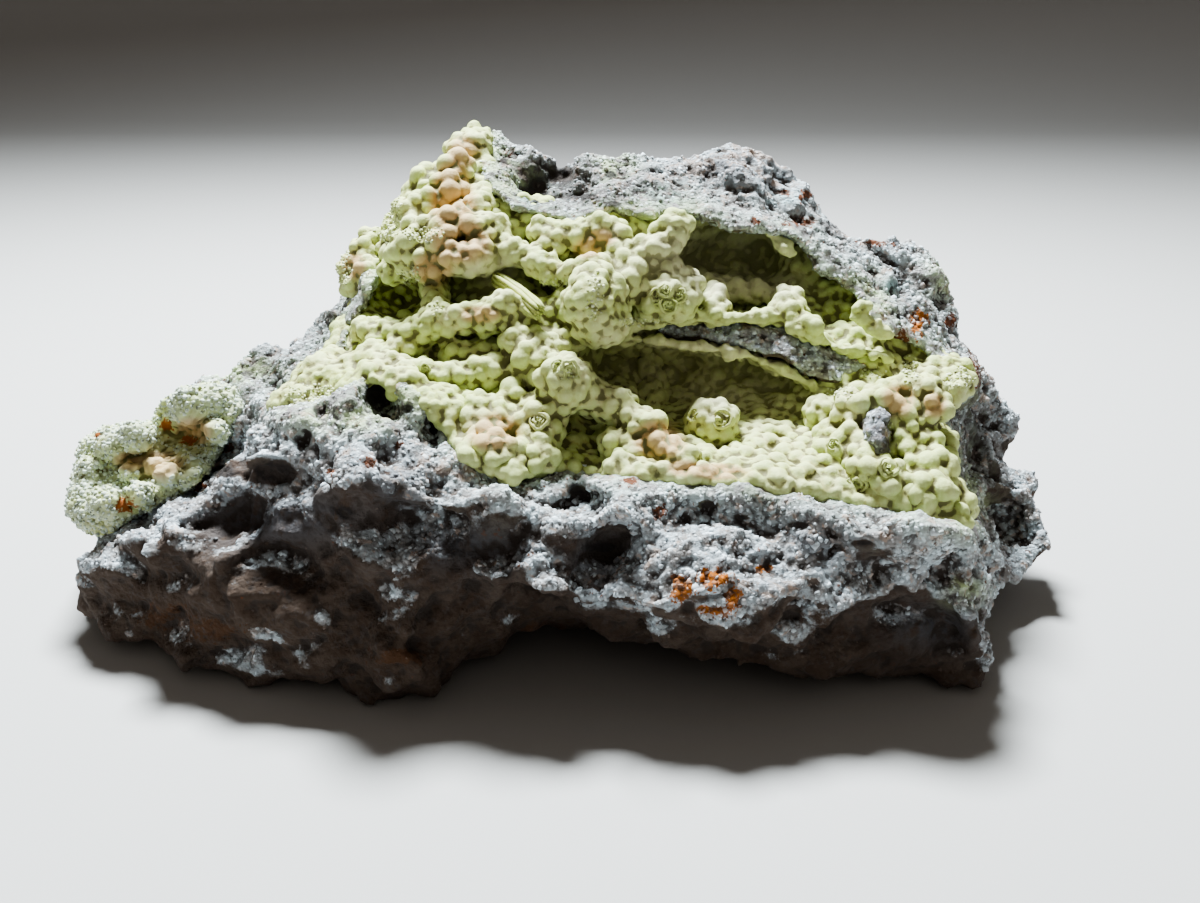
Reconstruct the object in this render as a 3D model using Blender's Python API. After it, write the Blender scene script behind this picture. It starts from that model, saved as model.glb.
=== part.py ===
"""A wavellite specimen: a craggy block of matrix rock whose open hollow is lined with a botryoidal crust.

Shapes are laid out on the display face, a plane through the block that leans back by FACE_TILT.
A point is (across, up, deep): across runs to the right, up runs up the leaning face, and deep runs
into the block, all in millimetres. The layout widens with depth like rays from one eye point that
lies EYE_DISTANCE in front of the face, so a wall drawn straight back flares gently outwards.
"""

import math

import bmesh
import bpy
import numpy as np
from mathutils import Vector, noise
from mathutils.geometry import delaunay_2d_cdt

MM = 0.001
FACE_TILT = math.radians(19.3)
EYE_DISTANCE = 187.5
EYE_POINT = (5.0, -172.6, 84.7)  # where the eye point stands

FIT_GAP = 0.35  # clearance between the crust and the pocket that it sits in
CRUST_THICKNESS = 7.0
GRID_STEP = 3.0  # spacing of the layout's triangulation
ROCK_VOXEL = 1.15
ROCK_RELIEF = [  # layers of (size, height, kind) that roughen the rock
    (23, 3.2, "crag"), (17, 1.6, "swell"), (9.5, 2.6, "crag"), (5, 1.3, "crag"), (3.5, 0.7, "swell"),
]
CRUST_VOXEL = 0.7
BEAD = 3.0  # the spacing of the beads that the crusts are covered in
CRAG_MEAN, DOME_MEAN = 0.35, 0.7  # taken off the noise so that it moves a surface in and out alike
ROCK_TRIANGLES = 4500
CRUST_TRIANGLES = 4700
SIDE_TRIANGLES = 620
POCKET_FRONT = -70.0  # the pocket's cutter reaches this far out of the face

ROCK_COLOUR = (0.50, 0.48, 0.45)
CRUST_COLOUR = (0.62, 0.64, 0.38)
SIDE_COLOUR = (0.58, 0.60, 0.40)


# ---- the rock's bodies: outlines (across, up) and the depths of their faces (across, up, deep) ----

WALL_OUTLINE = [
    (-75, -13.5), (-73.5, -10.5), (-67.5, -7.5), (-62, -4.5), (-59, -1), (-56.5, 3), (-52.5, 5.5),
    (-47, 7.5), (-40.5, 8), (-37, 10), (-35, 12), (-31, 12), (-25.5, 8), (-22, 6), (-19.5, 0),
    (-16.5, -2), (-13, -3), (-7, -1.5), (0, -2.5), (9, -3), (19.5, -4), (28, -5), (31, -4.5),
    (39, -6.5), (47, -8.5), (51, -9.5), (60, -10.5), (61, -24), (61, -30), (60, -38), (58.5, -40),
    (53, -39), (48, -36.5), (43, -39), (37.5, -37), (28, -39), (18, -37), (9, -33), (3, -30),
    (0, -31), (-7, -28.5), (-15, -32.5), (-24, -38.5), (-31, -41), (-36, -39.5), (-45, -38.5),
    (-58, -38), (-63, -35), (-72, -31.5), (-76.5, -26.5), (-79.5, -20), (-79, -16.5),
]
WALL_FRONT = [
    (-75, -16.5, -16), (-78.5, -18.5, -13), (-67.5, -16.5, -24), (-72, -25.5, -18), (-60, -7.5, -24),
    (-60, -22.5, -30), (-58, -35.5, -24), (-45, 0, -29), (-45, -16.5, -34), (-45, -31.5, -29),
    (-34.5, 10, -28), (-33, -4.5, -36), (-33, -22.5, -36), (-31, -40, -28), (-21, -1.5, -31),
    (-19.5, -13.5, -38), (-18, -28.5, -29), (-7.5, -3.5, -32), (-6, -16.5, -38), (-7, -27, -25),
    (7.5, -4.5, -33), (7.5, -16.5, -39), (9, -24, -38), (7.5, -30.5, -27), (24, -6, -33),
    (24, -16.5, -39), (25.5, -27, -36), (25.5, -36.5, -28), (39, -7.5, -33), (39, -16.5, -38),
    (39, -27, -33), (40.5, -36.5, -28), (51, -10.5, -31), (51, -19.5, -36), (51, -28.5, -30),
    (55.5, -39.5, -27), (60, -16.5, -26), (60, -28.5, -27),
]
CROWN_OUTLINE = [
    (-59, 7.5), (-56.5, 11), (-55, 13.5), (-50.5, 14.5), (-47, 17), (-42.5, 22), (-41, 24),
    (-40, 28), (-37.5, 30), (-34.5, 32), (-31, 32.2), (-30.5, 35.5), (-29.5, 38.5), (-27, 40.5),
    (-24.5, 41.5), (-22.5, 43.5), (-22, 45.5), (-19, 47.5), (-15.5, 49), (-12, 48), (-9, 47),
    (-6, 46), (-2.5, 45.5), (0, 46.5), (7.5, 46.5), (11, 45), (18, 42), (30, 37.5), (39, 32.5),
    (46, 30.5), (51, 31), (53.5, 29), (54.8, 26.5), (55.3, 22.5), (55, 18), (57, 16.5), (59.3, 15),
    (61, 11.5), (62.8, 8.5), (62.8, 4.5), (62.5, 0), (61.5, -4.5), (60, -16.5), (45, -18.5),
    (0, -18.5), (-45, -16.5), (-58, -7.5),
]
CROWN_FRONT = [
    (-57, 9, 0), (-54, 10.5, -6), (-45, 10.5, -14), (-52.5, 6, -20), (-48, 16, -4), (-39, 19.5, -6),
    (-39, 25.5, 0), (-36, 24, -8), (-30, 34.5, -4), (-25.5, 37.5, -6), (-19.5, 43.5, -4),
    (-15, 47.5, 2), (-13.5, 37.5, -10), (-6, 35.5, -12), (-6, 43.5, -3), (3, 35.5, -12),
    (3, 45, -2), (15, 34.5, -12), (13.5, 42, -4), (27, 31.5, -12), (24, 37.5, -7), (30, 35.5, -4),
    (33, 25.5, -12), (37.5, 31, -3), (45, 29.5, -2), (42, 22.5, -12), (45, 15, -14),
    (52.5, 22.5, -5), (51, 15, -10), (54, 9, -12), (55.5, 3, -4), (60, 7.5, 0), (54, -4.5, -14),
    (58.5, -7.5, -14), (61.5, 0, 2),
]
CROWN_BACK = [
    (-56, 8, 12), (-45, 10, 18), (-30, 23, 24), (-15, 45, 12), (0, 23, 29), (0, 44, 13),
    (30, 23, 29), (40, 30, 14), (45, 8, 27), (60, 5, 14), (15, -7, 26), (-35, -5, 22),
    (-52, -6, 14), (52, 24, 14), (50, -12, 22),
]
HUMP_OUTLINE = [
    (10.5, 44.5), (15, 46.5), (18.5, 48), (22, 47.5), (24.5, 46), (27, 44), (29.5, 42), (32.5, 40.3),
    (35, 37.5), (38, 35.5), (40, 34.5), (43.5, 33), (46, 32), (47, 30.5), (45, 28.5), (40.5, 28.5),
    (34.5, 28.5), (31.5, 30), (27, 33.5), (21, 36.5), (15, 40),
]
HUMP_FRONT = [
    (18, 41, -5), (21, 46, 2), (30, 39, -3), (27, 34.5, -12), (37, 33, -8), (45, 30, -7), (39, 36, 0),
]
LEFT_LUMP_OUTLINE = [
    (-80, -3), (-79.5, 0), (-78, 2), (-75, 3.5), (-71.5, 4), (-69, 3.5), (-66, 4.5),
    (-65, 7.5), (-62, 9), (-59, 10), (-54, 9), (-52.5, 1.5), (-60, -10.5), (-69, -16.5),
    (-75, -14), (-77.5, -12), (-78.5, -9), (-79.5, -6),
]
LEFT_LUMP_FRONT = [
    (-75, 0, -5), (-69, 1, -8), (-69, -4, -12), (-74, -9, -13), (-61, 6, -9), (-60, 0, -10),
    (-62, -4, -16), (-66, -10, -14),
]
RIGHT_LUMP_OUTLINE = [
    (60, -3), (64, -2.5), (67.3, -4), (67.8, -8), (68.5, -10.5), (69.5, -14), (67.5, -15.5),
    (65, -17), (63.5, -21), (61.5, -23), (58, -24), (52.5, -16.5), (54, -7.5),
]
RIGHT_LUMP_FRONT = [(63, -6, -3), (62, -12, 6), (66.5, -14.5, -7), (62, -20, -9), (57, -10, 0)]
SHELF_OUTLINE = [  # a shelf that stands out of the wall's lower half
    (-5, -18.5), (0, -17), (10, -16.5), (28, -16), (33, -20), (31, -26.5), (24, -29.5),
    (13, -28.5), (0, -26), (-4, -22.5),
]

# Lumps that break up the wall: (across, up, deep), radii (across, up, deep)
WALL_LUMPS = [
    ((3, -8.5, -36), (4.2, 3.4, 4)), ((-19, -8, -36), (9, 3.5, 4)), ((-36, -4, -34), (8, 5, 4)),
    ((-64, -13, -24), (7, 4.5, 4)), ((-74, -17, -14), (5, 5, 4)), ((-40, -16, -34), (7, 3, 4)),
    ((-52, -3, -28), (6, 4, 4)), ((44, -13, -35), (8, 4, 4)), ((54, -16, -32), (5, 6, 4)),
    ((56, -25, -29), (4, 5, 4)), ((36, -22, -34), (6, 3, 4)), ((-30, -31, -31), (7, 6, 5)),
    ((18, -20, -40), (6, 3, 3)), ((-12, -20, -36), (7, 3, 4)),
]
# Pits that open into the rock: the same, with the depth of the pit's middle
ROCK_PITS = [
    ((-33.3, 8.5, -27), (2.4, 2.6, 5)), ((-25, 4.5, -30), (1.8, 1.7, 4)),
    ((-42, 6.3, -24), (1.2, 1.2, 3)), ((-3, -5.5, -33), (2.2, 1.9, 4)),
    ((-8.5, 40, -7), (4.6, 2.3, 4)), ((1, -16, -38), (5, 3.6, 4)), ((-28, -13, -37), (7, 2.6, 4)),
    ((-54, -12, -32), (6, 4.5, 4)), ((40.5, 28.4, -6), (5.5, 1.1, 6)), ((45.5, 16.6, -12), (2.6, 1.5, 4)),
    ((56, 0, -8), (5, 6.5, 5)), ((63.5, -12.5, 4), (2, 3.6, 3.5)), ((57.5, 13, -8), (2, 5, 3)),
    ((53, -24.5, -34), (2.4, 2.4, 4)), ((-60, -19, -30), (9, 2.5, 4)),
]

# ---- the hollow and its crust ----

POCKET_OUTLINE = [
    (-47, 7.5), (-45, 10), (-42, 12), (-40, 13.5), (-38, 16), (-37.5, 19), (-35, 22), (-34, 24),
    (-33, 26.5), (-32, 29), (-33, 32), (-36, 36), (-32, 43), (-25, 48), (-20.5, 52), (-17.5, 50),
    (-17.5, 45), (-18, 43), (-17.5, 40.5), (-16, 39), (-14, 37.5), (-13, 36), (-7.5, 35), (-4, 34),
    (1.5, 36), (7.5, 34.5), (10, 36), (15, 35), (20, 33), (24, 33), (28, 32.5), (30, 31), (32, 29),
    (32.5, 27), (35, 26), (38.5, 23.5), (40, 21), (42, 17.5), (46, 16.5), (49, 15), (50, 13),
    (52.5, 11.5), (55, 11), (54, 9.5), (52, 8.5), (50, 6), (50, 4), (52, 1.5), (53, -4.5),
    (55, -9.5), (50, -9.5), (43.5, -7), (39, -6.5), (31, -4.5), (28, -5), (19.5, -4), (9, -3),
    (0, -2.5), (-7, -1.5), (-13, -3), (-17, -1.5), (-19.5, 0), (-22.5, 6), (-25.5, 7.5),
    (-28.5, 10), (-31.5, 11.5), (-35, 12), (-37, 10), (-40.5, 8.5), (-43.5, 7),
]
CRUST_OUTLINE = [  # wider than the pocket, apart from the shoulder, where the crust is the outside
    (-50, 4), (-48, 12), (-42, 18), (-38, 26), (-33, 31), (-30.5, 35.5), (-29.5, 38.5), (-27, 40.5),
    (-24.5, 41.5), (-22.5, 43.5), (-22, 45.5), (-19, 47.5), (-14, 48), (-12, 42), (0, 39),
    (28, 38), (40, 30), (50, 22), (60, 14), (56, 5), (60, -12), (52, -14), (30, -9), (-16, -7),
    (-24, 0), (-30, 6),
]
CRUST_FRONT = [
    (-22.5, 40.5, -3), (-19.5, 45, 0), (-27, 37.5, -4), (-25.5, 33, -9), (-18, 31.5, -12),
    (-30, 29.5, -7), (-31.5, 34, -2), (-35, 20.5, -6), (-38, 15, -10), (-45, 8.5, -20),
    (-40.5, 11, -19), (-35, 13, -22), (-30, 12, -22), (-24, 7.5, -26), (-19.5, 1, -29),
    (-14, -2, -30), (-30, 22.5, 2), (-26, 24, -5), (-20, 25, -5), (-15, 28.5, -8), (-8, 25, -4),
    (-12, 34, -9.5), (-6, 31.5, -10.5), (0, 28.5, -11), (6, 31.5, -10), (6, 22.5, -11), (-22.5, 16, -13),
    (-18, 16, -13.5), (-10.5, 18, -15), (-27, 13, -16), (-21, 12, -16), (-15, 10, -18),
    (-18, 6, -20), (-10.5, 6, -20), (-13, 1, -25), (-7.5, -1.5, -26), (-1.5, 3, -13),
    (0, -0.5, -20), (1.5, 7, -12), (0, 13, 2), (6, 9, 4), (6, 15, 3), (13.5, 13.5, 1), (9, 6, -6),
    (7.5, 1, -22), (3, -1.5, -28), (15, 6, -8), (13.5, 1, -20), (15, -2.5, -29), (22.5, 13, 0),
    (28.5, 11, -4), (24, 7.5, -7), (25.5, 3, -17), (24, -2, -27), (27, -4, -30), (33, 7, -13),
    (34.5, 2.5, -18), (34.5, -2, -25), (34.5, -5, -29), (40.5, 1.5, -21), (40.5, -5, -28),
    (40.5, 7.5, -17), (45, 10.5, -16), (47, 14.5, -8), (49, 11.5, -14), (52, 10, -13), (48, 6, -17),
    (47, 1.5, -20), (45, -3, -25), (45, -6, -29), (49.5, 3, -18), (52, -3, -23), (52.5, -8, -29),
    (12, 33, 0), (15, 28.5, 9), (24, 28.5, 9), (21, 31.5, 6), (10.5, 27, 2), (15, 22.5, 1),
    (21, 22.5, 0), (25.5, 21, -6), (29, 28.5, 0), (30, 24, -2), (34.5, 24, -2), (33, 19.5, -6),
    (37.5, 18, -8), (39, 16, -12), (15, 19, -10), (6, 19, -12), (30, 15, -12), (37.5, 12, -14),
]
LEDGE_OUTLINE = [  # the broken plate between the two caves
    (-4, 18), (0, 18), (4, 19.5), (7, 21), (13.5, 20), (17, 20.5), (21, 19.5), (25.5, 20.5),
    (29, 18), (33, 16), (37.5, 14), (43, 14), (44, 13), (42, 11.5), (39.5, 11), (37, 9),
    (35.5, 7.5), (33.5, 9), (30, 11.5), (27, 13), (23, 15), (17, 16.5), (9, 17), (4, 17), (-1.5, 16.5),
]
LEDGE_DEPTHS = (-14.5, 12.0)
# Bars, pillars and strings of beads: radius, then the line's points
CRUST_BARS = {
    "lower_bar": (1.7, [(-35.5, 18, -10), (-33.5, 17.5, -12), (-30.5, 17, -13), (-27, 18, -14),
                        (-24, 20, -16), (-20.5, 20, -16), (-17, 20, -16), (-14.5, 21.5, -17)]),
    "bar_spur": (1.3, [(-27, 17, -14), (-30, 15.5, -15), (-32, 15, -16)]),
    "cave_pillar": (1.2, [(-25, 25.5, -8), (-24.5, 23.5, -12), (-24.5, 21, -15)]),
    "slanting_tube": (1.6, [(-15.5, 25.5, -12), (-13, 24, -15), (-10.5, 21.5, -19), (-9, 20.5, -20)]),
    "slit_bar": (1.3, [(-14, 31, -11), (-10.5, 29, -13), (-7, 27, -15), (-3.5, 26.5, -17)]),
    "chain_left": (1.5, [(-2.5, 31.5, -13), (-0.5, 32, -13), (1, 33, -12), (2, 33.5, -12)]),
    "chain_right": (1.6, [(2, 33.5, -12), (3, 31.5, -13), (4, 29.5, -14), (5, 27, -15), (5, 24.5, -15)]),
    "finger": (2.0, [(11.5, 34, -13), (9.5, 31.5, -14), (7.5, 29.5, -15), (6.5, 28.5, -15)]),
    "block": (2.2, [(8, 22.5, -14), (10.5, 22.5, -15), (13, 25, -12)]),
    "post_left": (1.3, [(17, 24, -7), (17.5, 22.5, -10), (17.5, 20.5, -12)]),
    "post_right": (1.4, [(28, 24, -8), (28, 22, -10), (29.5, 19.5, -13), (31.5, 18, -14)]),
    "bead_row": (1.4, [(15, 25, -3), (20, 24, -4), (25, 24, -5)]),
    "column": (3.2, [(-1, 25.5, -18), (-1, 22.5, -20), (-0.5, 19.5, -19)]),
    "column_side": (1.9, [(1, 24, -18), (2, 21.5, -19), (2, 19, -18)]),
    "spur": (1.9, [(-1, 8, -20), (2, 7, -21), (4, 6, -22), (6.5, 4, -23), (8, 2.5, -24),
                   (10, 0, -25), (12.5, -1.5, -26)]),
    "ridge": (1.8, [(-23, 10.5, -19), (-19.5, 11.5, -18), (-16.5, 12, -18), (-14, 12, -17)]),
    "low_pillar": (2.5, [(-8, 7, -21), (-9, 4.5, -22), (-9, 1, -23), (-10, -2, -25)]),
    "wall_string": (1.4, [(8, 16, 1), (8, 13, 1), (8, 10, 1), (8, 7, -4)]),
}
# Rounded knobs: (across, up, deep, radius)
CRUST_KNOBS = [
    (-13, 19, -17, 1.7), (-12.5, 16.5, -18, 1.9), (-10, 14.5, -19, 2.3), (-8, 15.5, -18, 2.3),
    (-6, 16, -17, 1.9), (-8, 13.5, -20, 2.1), (-8, 21, -15, 1.8), (-6, 22, -15, 1.9),
    (-4.5, 21, -16, 1.9), (-6.5, 18, -15, 1.7), (-5, 10.5, -22, 3.8), (-2, 9, -21, 2.4),
    (-6, 7.5, -22, 2.1), (2.5, 1, -23, 2.3), (5, 0, -25, 1.8), (17, 4, -17, 3.5),
    (-26, 12, -18, 1.9), (-24.5, 11, -19, 1.9), (-21.5, 14.5, -15, 2.2), (-18.5, 6.5, -22, 2.3),
    (-16, 6, -22, 2.5), (-19.5, 4, -23, 2.1), (-17, 3, -24, 2.4), (-15.5, -0.5, -27, 2.8),
    (-13, -0.5, -25, 2.2), (-12, 4, -22, 2.2), (-13, 8, -20, 2), (-28.5, 30, -11, 3.2),
    (-25.5, 28.5, -12, 3), (-21, 29, -13, 3.2), (-22, 33.5, -11, 3), (-18.5, 32.5, -11, 2.6),
    (-31, 27, -9, 2), (-28, 35.5, -7, 2.5), (-25.5, 37, -6, 2.5), (-22.5, 39, -5, 2.6),
    (-21.5, 42, -3, 2.5), (-18, 36, -8, 2.4), (46, 9.5, -18, 3.2), (44.5, 6.5, -19, 2.8),
    (49.5, 9, -19, 2.3), (50, 6.5, -20, 2.3), (38, 6, -20, 2.9), (42, 7.5, -20, 2.6),
    (43.5, 4, -22, 3), (42, 1.5, -23, 3.5), (40, -0.5, -24, 2.6), (45.5, 1.5, -22, 2.3),
    (40, -3, -26, 2.9), (43, -4.5, -27, 2.9), (35, 1.5, -20, 2.6), (35, -1, -22, 2.3),
    (33.5, 5.5, -16, 2.7), (48, -3, -24, 2.6), (50.5, -2, -24, 2.4), (47, -6, -27, 2.5),
    (50.5, -6, -27, 2.5), (49, 1.5, -21, 2.1),
]

# ---- the small hollow at the left end ----

SIDE_POCKET_OUTLINE = [
    (-77.5, -8), (-77.5, -3), (-76.5, 1), (-73, 4.5), (-67.5, 5), (-65.5, 8), (-61.5, 10.5),
    (-56.5, 11), (-54.5, 7), (-56.5, 3), (-59, -0.5), (-62, -4), (-67.5, -7), (-71, -9), (-74, -11),
]
SIDE_OUTLINE = [
    (-80, -9), (-78.5, -3), (-77.5, 1.5), (-75, 3), (-71.5, 4), (-69, 3.5), (-66, 4.5), (-65, 7.5),
    (-62, 9), (-59, 10), (-53, 9), (-52, 3), (-56, -4), (-62, -9), (-70, -14), (-77, -13),
]
SIDE_FRONT = [
    (-75, 0, -6), (-70, 2, -8), (-68, -1.5, -7), (-72, -3, -8), (-64, 1, -4), (-62, 6.5, -9),
    (-58, 8, -8), (-60, 2, -4), (-66, -5, -11), (-73, -8, -13), (-61, -2, -13), (-56, 5, -10),
    (-71, -5.5, -9),
]
SIDE_KNOBS = [
    (-73, 1, -8, 2.6), (-69.5, 2.2, -9, 2.4), (-76, -3, -8, 2.4), (-74, -8, -13.5, 2.6),
    (-69, -6.5, -13, 2.0), (-65, -3.5, -13, 1.8), (-61.5, 6.8, -10, 3), (-58, 7.5, -9, 2.4),
    (-67, -2.2, -9, 1.8), (-70.5, -3, -10, 1.7), (-57.5, 3, -11, 1.9),
]

# ---- the underside ----

FEET = [  # (x, y, radius) of the flat patches that the block stands on
    (-22, -34, 4.5), (51, -34, 4.5), (-50, -20, 4), (-40, 24, 6), (44, 22, 6), (4, 30, 6),
]
ARCH_HEIGHT = 4.5  # how far the underside rises between the feet
ARCH_RISE = 14.0  # over this distance from a foot


def place(across, up, deep):
    """The world position, in metres, of a point of the layout."""
    spread = 1 + deep / EYE_DISTANCE
    forward = EYE_DISTANCE + deep
    rise = up * spread
    return (Vector(EYE_POINT) + Vector((
        across * spread,
        rise * math.sin(FACE_TILT) + forward * math.cos(FACE_TILT),
        rise * math.cos(FACE_TILT) - forward * math.sin(FACE_TILT),
    ))) * MM


def depth_field(points):
    """A taut surface of depth through scattered (across, up, deep) points, as a function of arrays."""
    known = np.array(points, float)
    count = len(known)
    distance = np.linalg.norm(known[:, None, :2] - known[None, :, :2], axis=2)
    system = np.ones((count + 1, count + 1))
    system[:count, :count] = distance
    system[count, count] = 0
    weights = np.linalg.solve(system, np.append(known[:, 2], 0))

    def depth(places):
        reach = np.linalg.norm(places[:, None, :] - known[None, :, :2], axis=2)
        return reach @ weights[:count] + weights[count]

    return depth


def outline_distance(places, outline):
    """The distance from each place to a closed outline."""
    start = np.array(outline, float)
    edge = np.roll(start, -1, axis=0) - start
    offset = places[:, None, :] - start[None]
    along = np.clip((offset * edge).sum(2) / (edge**2).sum(1), 0, 1)
    return np.linalg.norm(offset - along[..., None] * edge, axis=2).min(1)


def inside(places, outline):
    """Which places lie inside a closed outline."""
    ends = np.array(outline, float)
    starts = np.roll(ends, 1, axis=0)
    crossed = np.zeros(len(places), bool)
    for (x0, y0), (x1, y1) in zip(starts, ends):
        spans = (y0 > places[:, 1]) != (y1 > places[:, 1])
        if y0 != y1:
            crossed ^= spans & (places[:, 0] < (x1 - x0) * (places[:, 1] - y0) / (y1 - y0) + x0)
    return crossed


def resampled(outline, step):
    """A closed outline with its long edges divided so that none is longer than step."""
    points = []
    for (x0, y0), (x1, y1) in zip(outline, outline[1:] + outline[:1]):
        pieces = max(1, math.ceil(math.hypot(x1 - x0, y1 - y0) / step))
        points += [(x0 + (x1 - x0) * i / pieces, y0 + (y1 - y0) * i / pieces) for i in range(pieces)]
    return points


def triangulated(outline, step):
    """A triangulation of an outline's inside: its points and its triangles."""
    edge = resampled(outline, step)
    low, high = np.min(edge, axis=0), np.max(edge, axis=0)
    rows = np.arange(low[1] + step / 2, high[1], step * 0.87)
    grid = np.array([
        (x + (row % 2) * step / 2, y)
        for row, y in enumerate(rows)
        for x in np.arange(low[0], high[0], step)
    ])
    kept = grid[inside(grid, outline) & (outline_distance(grid, edge) > step * 0.5)]
    points = [Vector(p) for p in edge] + [Vector(p) for p in kept]
    edges = [(i, (i + 1) % len(edge)) for i in range(len(edge))]
    flat = delaunay_2d_cdt(points, edges, [list(range(len(edge)))], 1, 1e-5)
    return np.array([tuple(v) for v in flat[0]]), [tuple(f) for f in flat[2]]


def new_object(name, mesh):
    obj = bpy.data.objects.new(name, mesh)
    bpy.context.scene.collection.objects.link(obj)
    return obj


def object_of(name, points, faces):
    """An object from world points and faces, with its normals pointing out."""
    mesh = bpy.data.meshes.new(name)
    mesh.from_pydata([tuple(p) for p in points], [], faces)
    shape = bmesh.new()
    shape.from_mesh(mesh)
    bmesh.ops.remove_doubles(shape, verts=shape.verts, dist=1e-7)
    bmesh.ops.recalc_face_normals(shape, faces=shape.faces)
    shape.to_mesh(mesh)
    shape.free()
    return new_object(name, mesh)


def relief_body(name, outline, front, back, roundness=0.0, step=GRID_STEP):
    """A closed body over an outline, between a front and a back depth, with its rim rounded over."""
    flat, faces = triangulated(outline, step)
    from_rim = np.clip(outline_distance(flat, outline) / max(roundness, 1e-6), 0, 1)
    inset = roundness * (1 - np.sqrt(1 - (1 - from_rim) ** 2))
    near = front(flat) + inset
    far = np.maximum(back(flat) - inset, near + 1.0)
    count = len(flat)
    points = [place(x, y, d) for (x, y), d in zip(flat, near)]
    points += [place(x, y, d) for (x, y), d in zip(flat, far)]
    sides = {}
    for face in faces:
        for a, b in zip(face, face[1:] + face[:1]):
            sides[(a, b)] = (b, a) not in sides
            if not sides[(a, b)]:
                sides[(b, a)] = False
    rim = [(a, b) for (a, b), alone in sides.items() if alone]
    shell = list(faces) + [tuple(i + count for i in reversed(f)) for f in faces]
    shell += [(b, a, a + count, b + count) for a, b in rim]
    return object_of(name, points, shell)


def level(depth):
    """A front or back of one depth."""
    return lambda places: np.full(len(places), float(depth))


def lump(name, centre, radii, detail=3):
    """An ellipsoid of the layout."""
    shape = bmesh.new()
    bmesh.ops.create_icosphere(shape, subdivisions=detail, radius=1.0)
    for vert in shape.verts:
        vert.co = place(*(c + r * v for c, r, v in zip(centre, radii, vert.co)))
    bmesh.ops.recalc_face_normals(shape, faces=shape.faces)
    mesh = bpy.data.meshes.new(name)
    shape.to_mesh(mesh)
    shape.free()
    return new_object(name, mesh)


def bar(name, line, radius):
    """A string of beads that runs along a line, close enough together to make one bar."""
    beads = []
    for start, end in zip(line, line[1:]):
        start, end = Vector(start), Vector(end)
        count = max(1, math.ceil((end - start).length / radius))
        beads += [start.lerp(end, i / count) for i in range(count)]
    beads.append(Vector(line[-1]))
    return [
        lump(f"{name}_{i}", bead, [radius * (0.9 if i % 2 else 1.05)] * 3, 2)
        for i, bead in enumerate(beads)
    ]


def joined(name, objects):
    """One object that holds the faces of several."""
    whole = bmesh.new()
    for obj in objects:
        whole.from_mesh(obj.data)
        bpy.data.objects.remove(obj)
    mesh = bpy.data.meshes.new(name)
    whole.to_mesh(mesh)
    whole.free()
    return new_object(name, mesh)


def applied(obj):
    """The object with its modifiers made part of its mesh."""
    graph = bpy.context.evaluated_depsgraph_get()
    mesh = bpy.data.meshes.new_from_object(obj.evaluated_get(graph))
    name = obj.name
    bpy.data.objects.remove(obj)
    return new_object(name, mesh)


def fused(obj, voxel):
    """The union of an object's overlapping shells, as one even skin."""
    remesh = obj.modifiers.new("Fuse", "REMESH")
    remesh.mode = "VOXEL"
    remesh.voxel_size = voxel * MM
    return largest_body(applied(obj))


def largest_body(obj):
    """The object without its loose crumbs: only its body with the most vertices is kept."""
    shape = bmesh.new()
    shape.from_mesh(obj.data)
    left = set(shape.verts)
    bodies = []
    while left:
        todo = [left.pop()]
        body = list(todo)
        while todo:
            for edge in todo.pop().link_edges:
                for vert in edge.verts:
                    if vert in left:
                        left.remove(vert)
                        todo.append(vert)
                        body.append(vert)
        bodies.append(body)
    bodies.sort(key=len)
    loose = [vert for body in bodies[:-1] for vert in body]
    bmesh.ops.delete(shape, geom=loose, context="VERTS")
    shape.to_mesh(obj.data)
    shape.free()
    return obj


def reduced(obj, triangles):
    """The object thinned to about this many triangles."""
    obj.data.calc_loop_triangles()
    thin = obj.modifiers.new("Thin", "DECIMATE")
    thin.ratio = min(1.0, triangles / len(obj.data.loop_triangles))
    return applied(obj)


def cut(obj, cutter, operation="DIFFERENCE"):
    """The object after a Boolean with a cutter, which is used up."""
    boolean = obj.modifiers.new("Cut", "BOOLEAN")
    boolean.object = cutter
    boolean.operation = operation
    obj = applied(obj)
    bpy.data.objects.remove(cutter)
    return obj


def move_vertices(obj, places):
    for vert, place_now in zip(obj.data.vertices, places):
        vert.co = place_now


def roughen(obj, layers):
    """Moves each vertex along its normal by layers of (size in mm, height in mm, kind) noise."""
    moves = []
    for vert in obj.data.vertices:
        at = vert.co / MM
        height = 0.0
        for size, amount, kind in layers:
            where = at / size + Vector((size, 2 * size, 3 * size))
            if kind == "crag":
                nearest = noise.voronoi(where)[0]
                height += amount * (nearest[1] - nearest[0] - CRAG_MEAN)
            elif kind == "bead":
                dome = math.sqrt(max(0.0, 1 - noise.voronoi(where)[0][0] ** 2))
                height += amount * (dome - DOME_MEAN)
            else:
                height += amount * noise.noise(where)
        moves.append(vert.co + vert.normal * height * MM)
    move_vertices(obj, moves)


def dress(obj, colour, roughness):
    """Gives an object its own material and smooth shading."""
    material = bpy.data.materials.new(obj.name)
    material.use_nodes = True
    shader = material.node_tree.nodes["Principled BSDF"]
    shader.inputs["Base Color"].default_value = (*colour, 1)
    shader.inputs["Roughness"].default_value = roughness
    obj.data.materials.clear()
    obj.data.materials.append(material)
    obj.data.shade_smooth()
    return obj


def pocket_cutter(name, outline, crust_front, gap=0.0):
    """The pocket behind a crust, or the slightly smaller body that bounds the crust."""
    front = depth_field(crust_front)
    back = lambda places: front(places) + CRUST_THICKNESS
    cutter = relief_body(name, outline, level(POCKET_FRONT), back, 3.0, 3.5)
    move_vertices(cutter, [v.co - v.normal * gap * MM for v in cutter.data.vertices])
    return cutter


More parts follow.
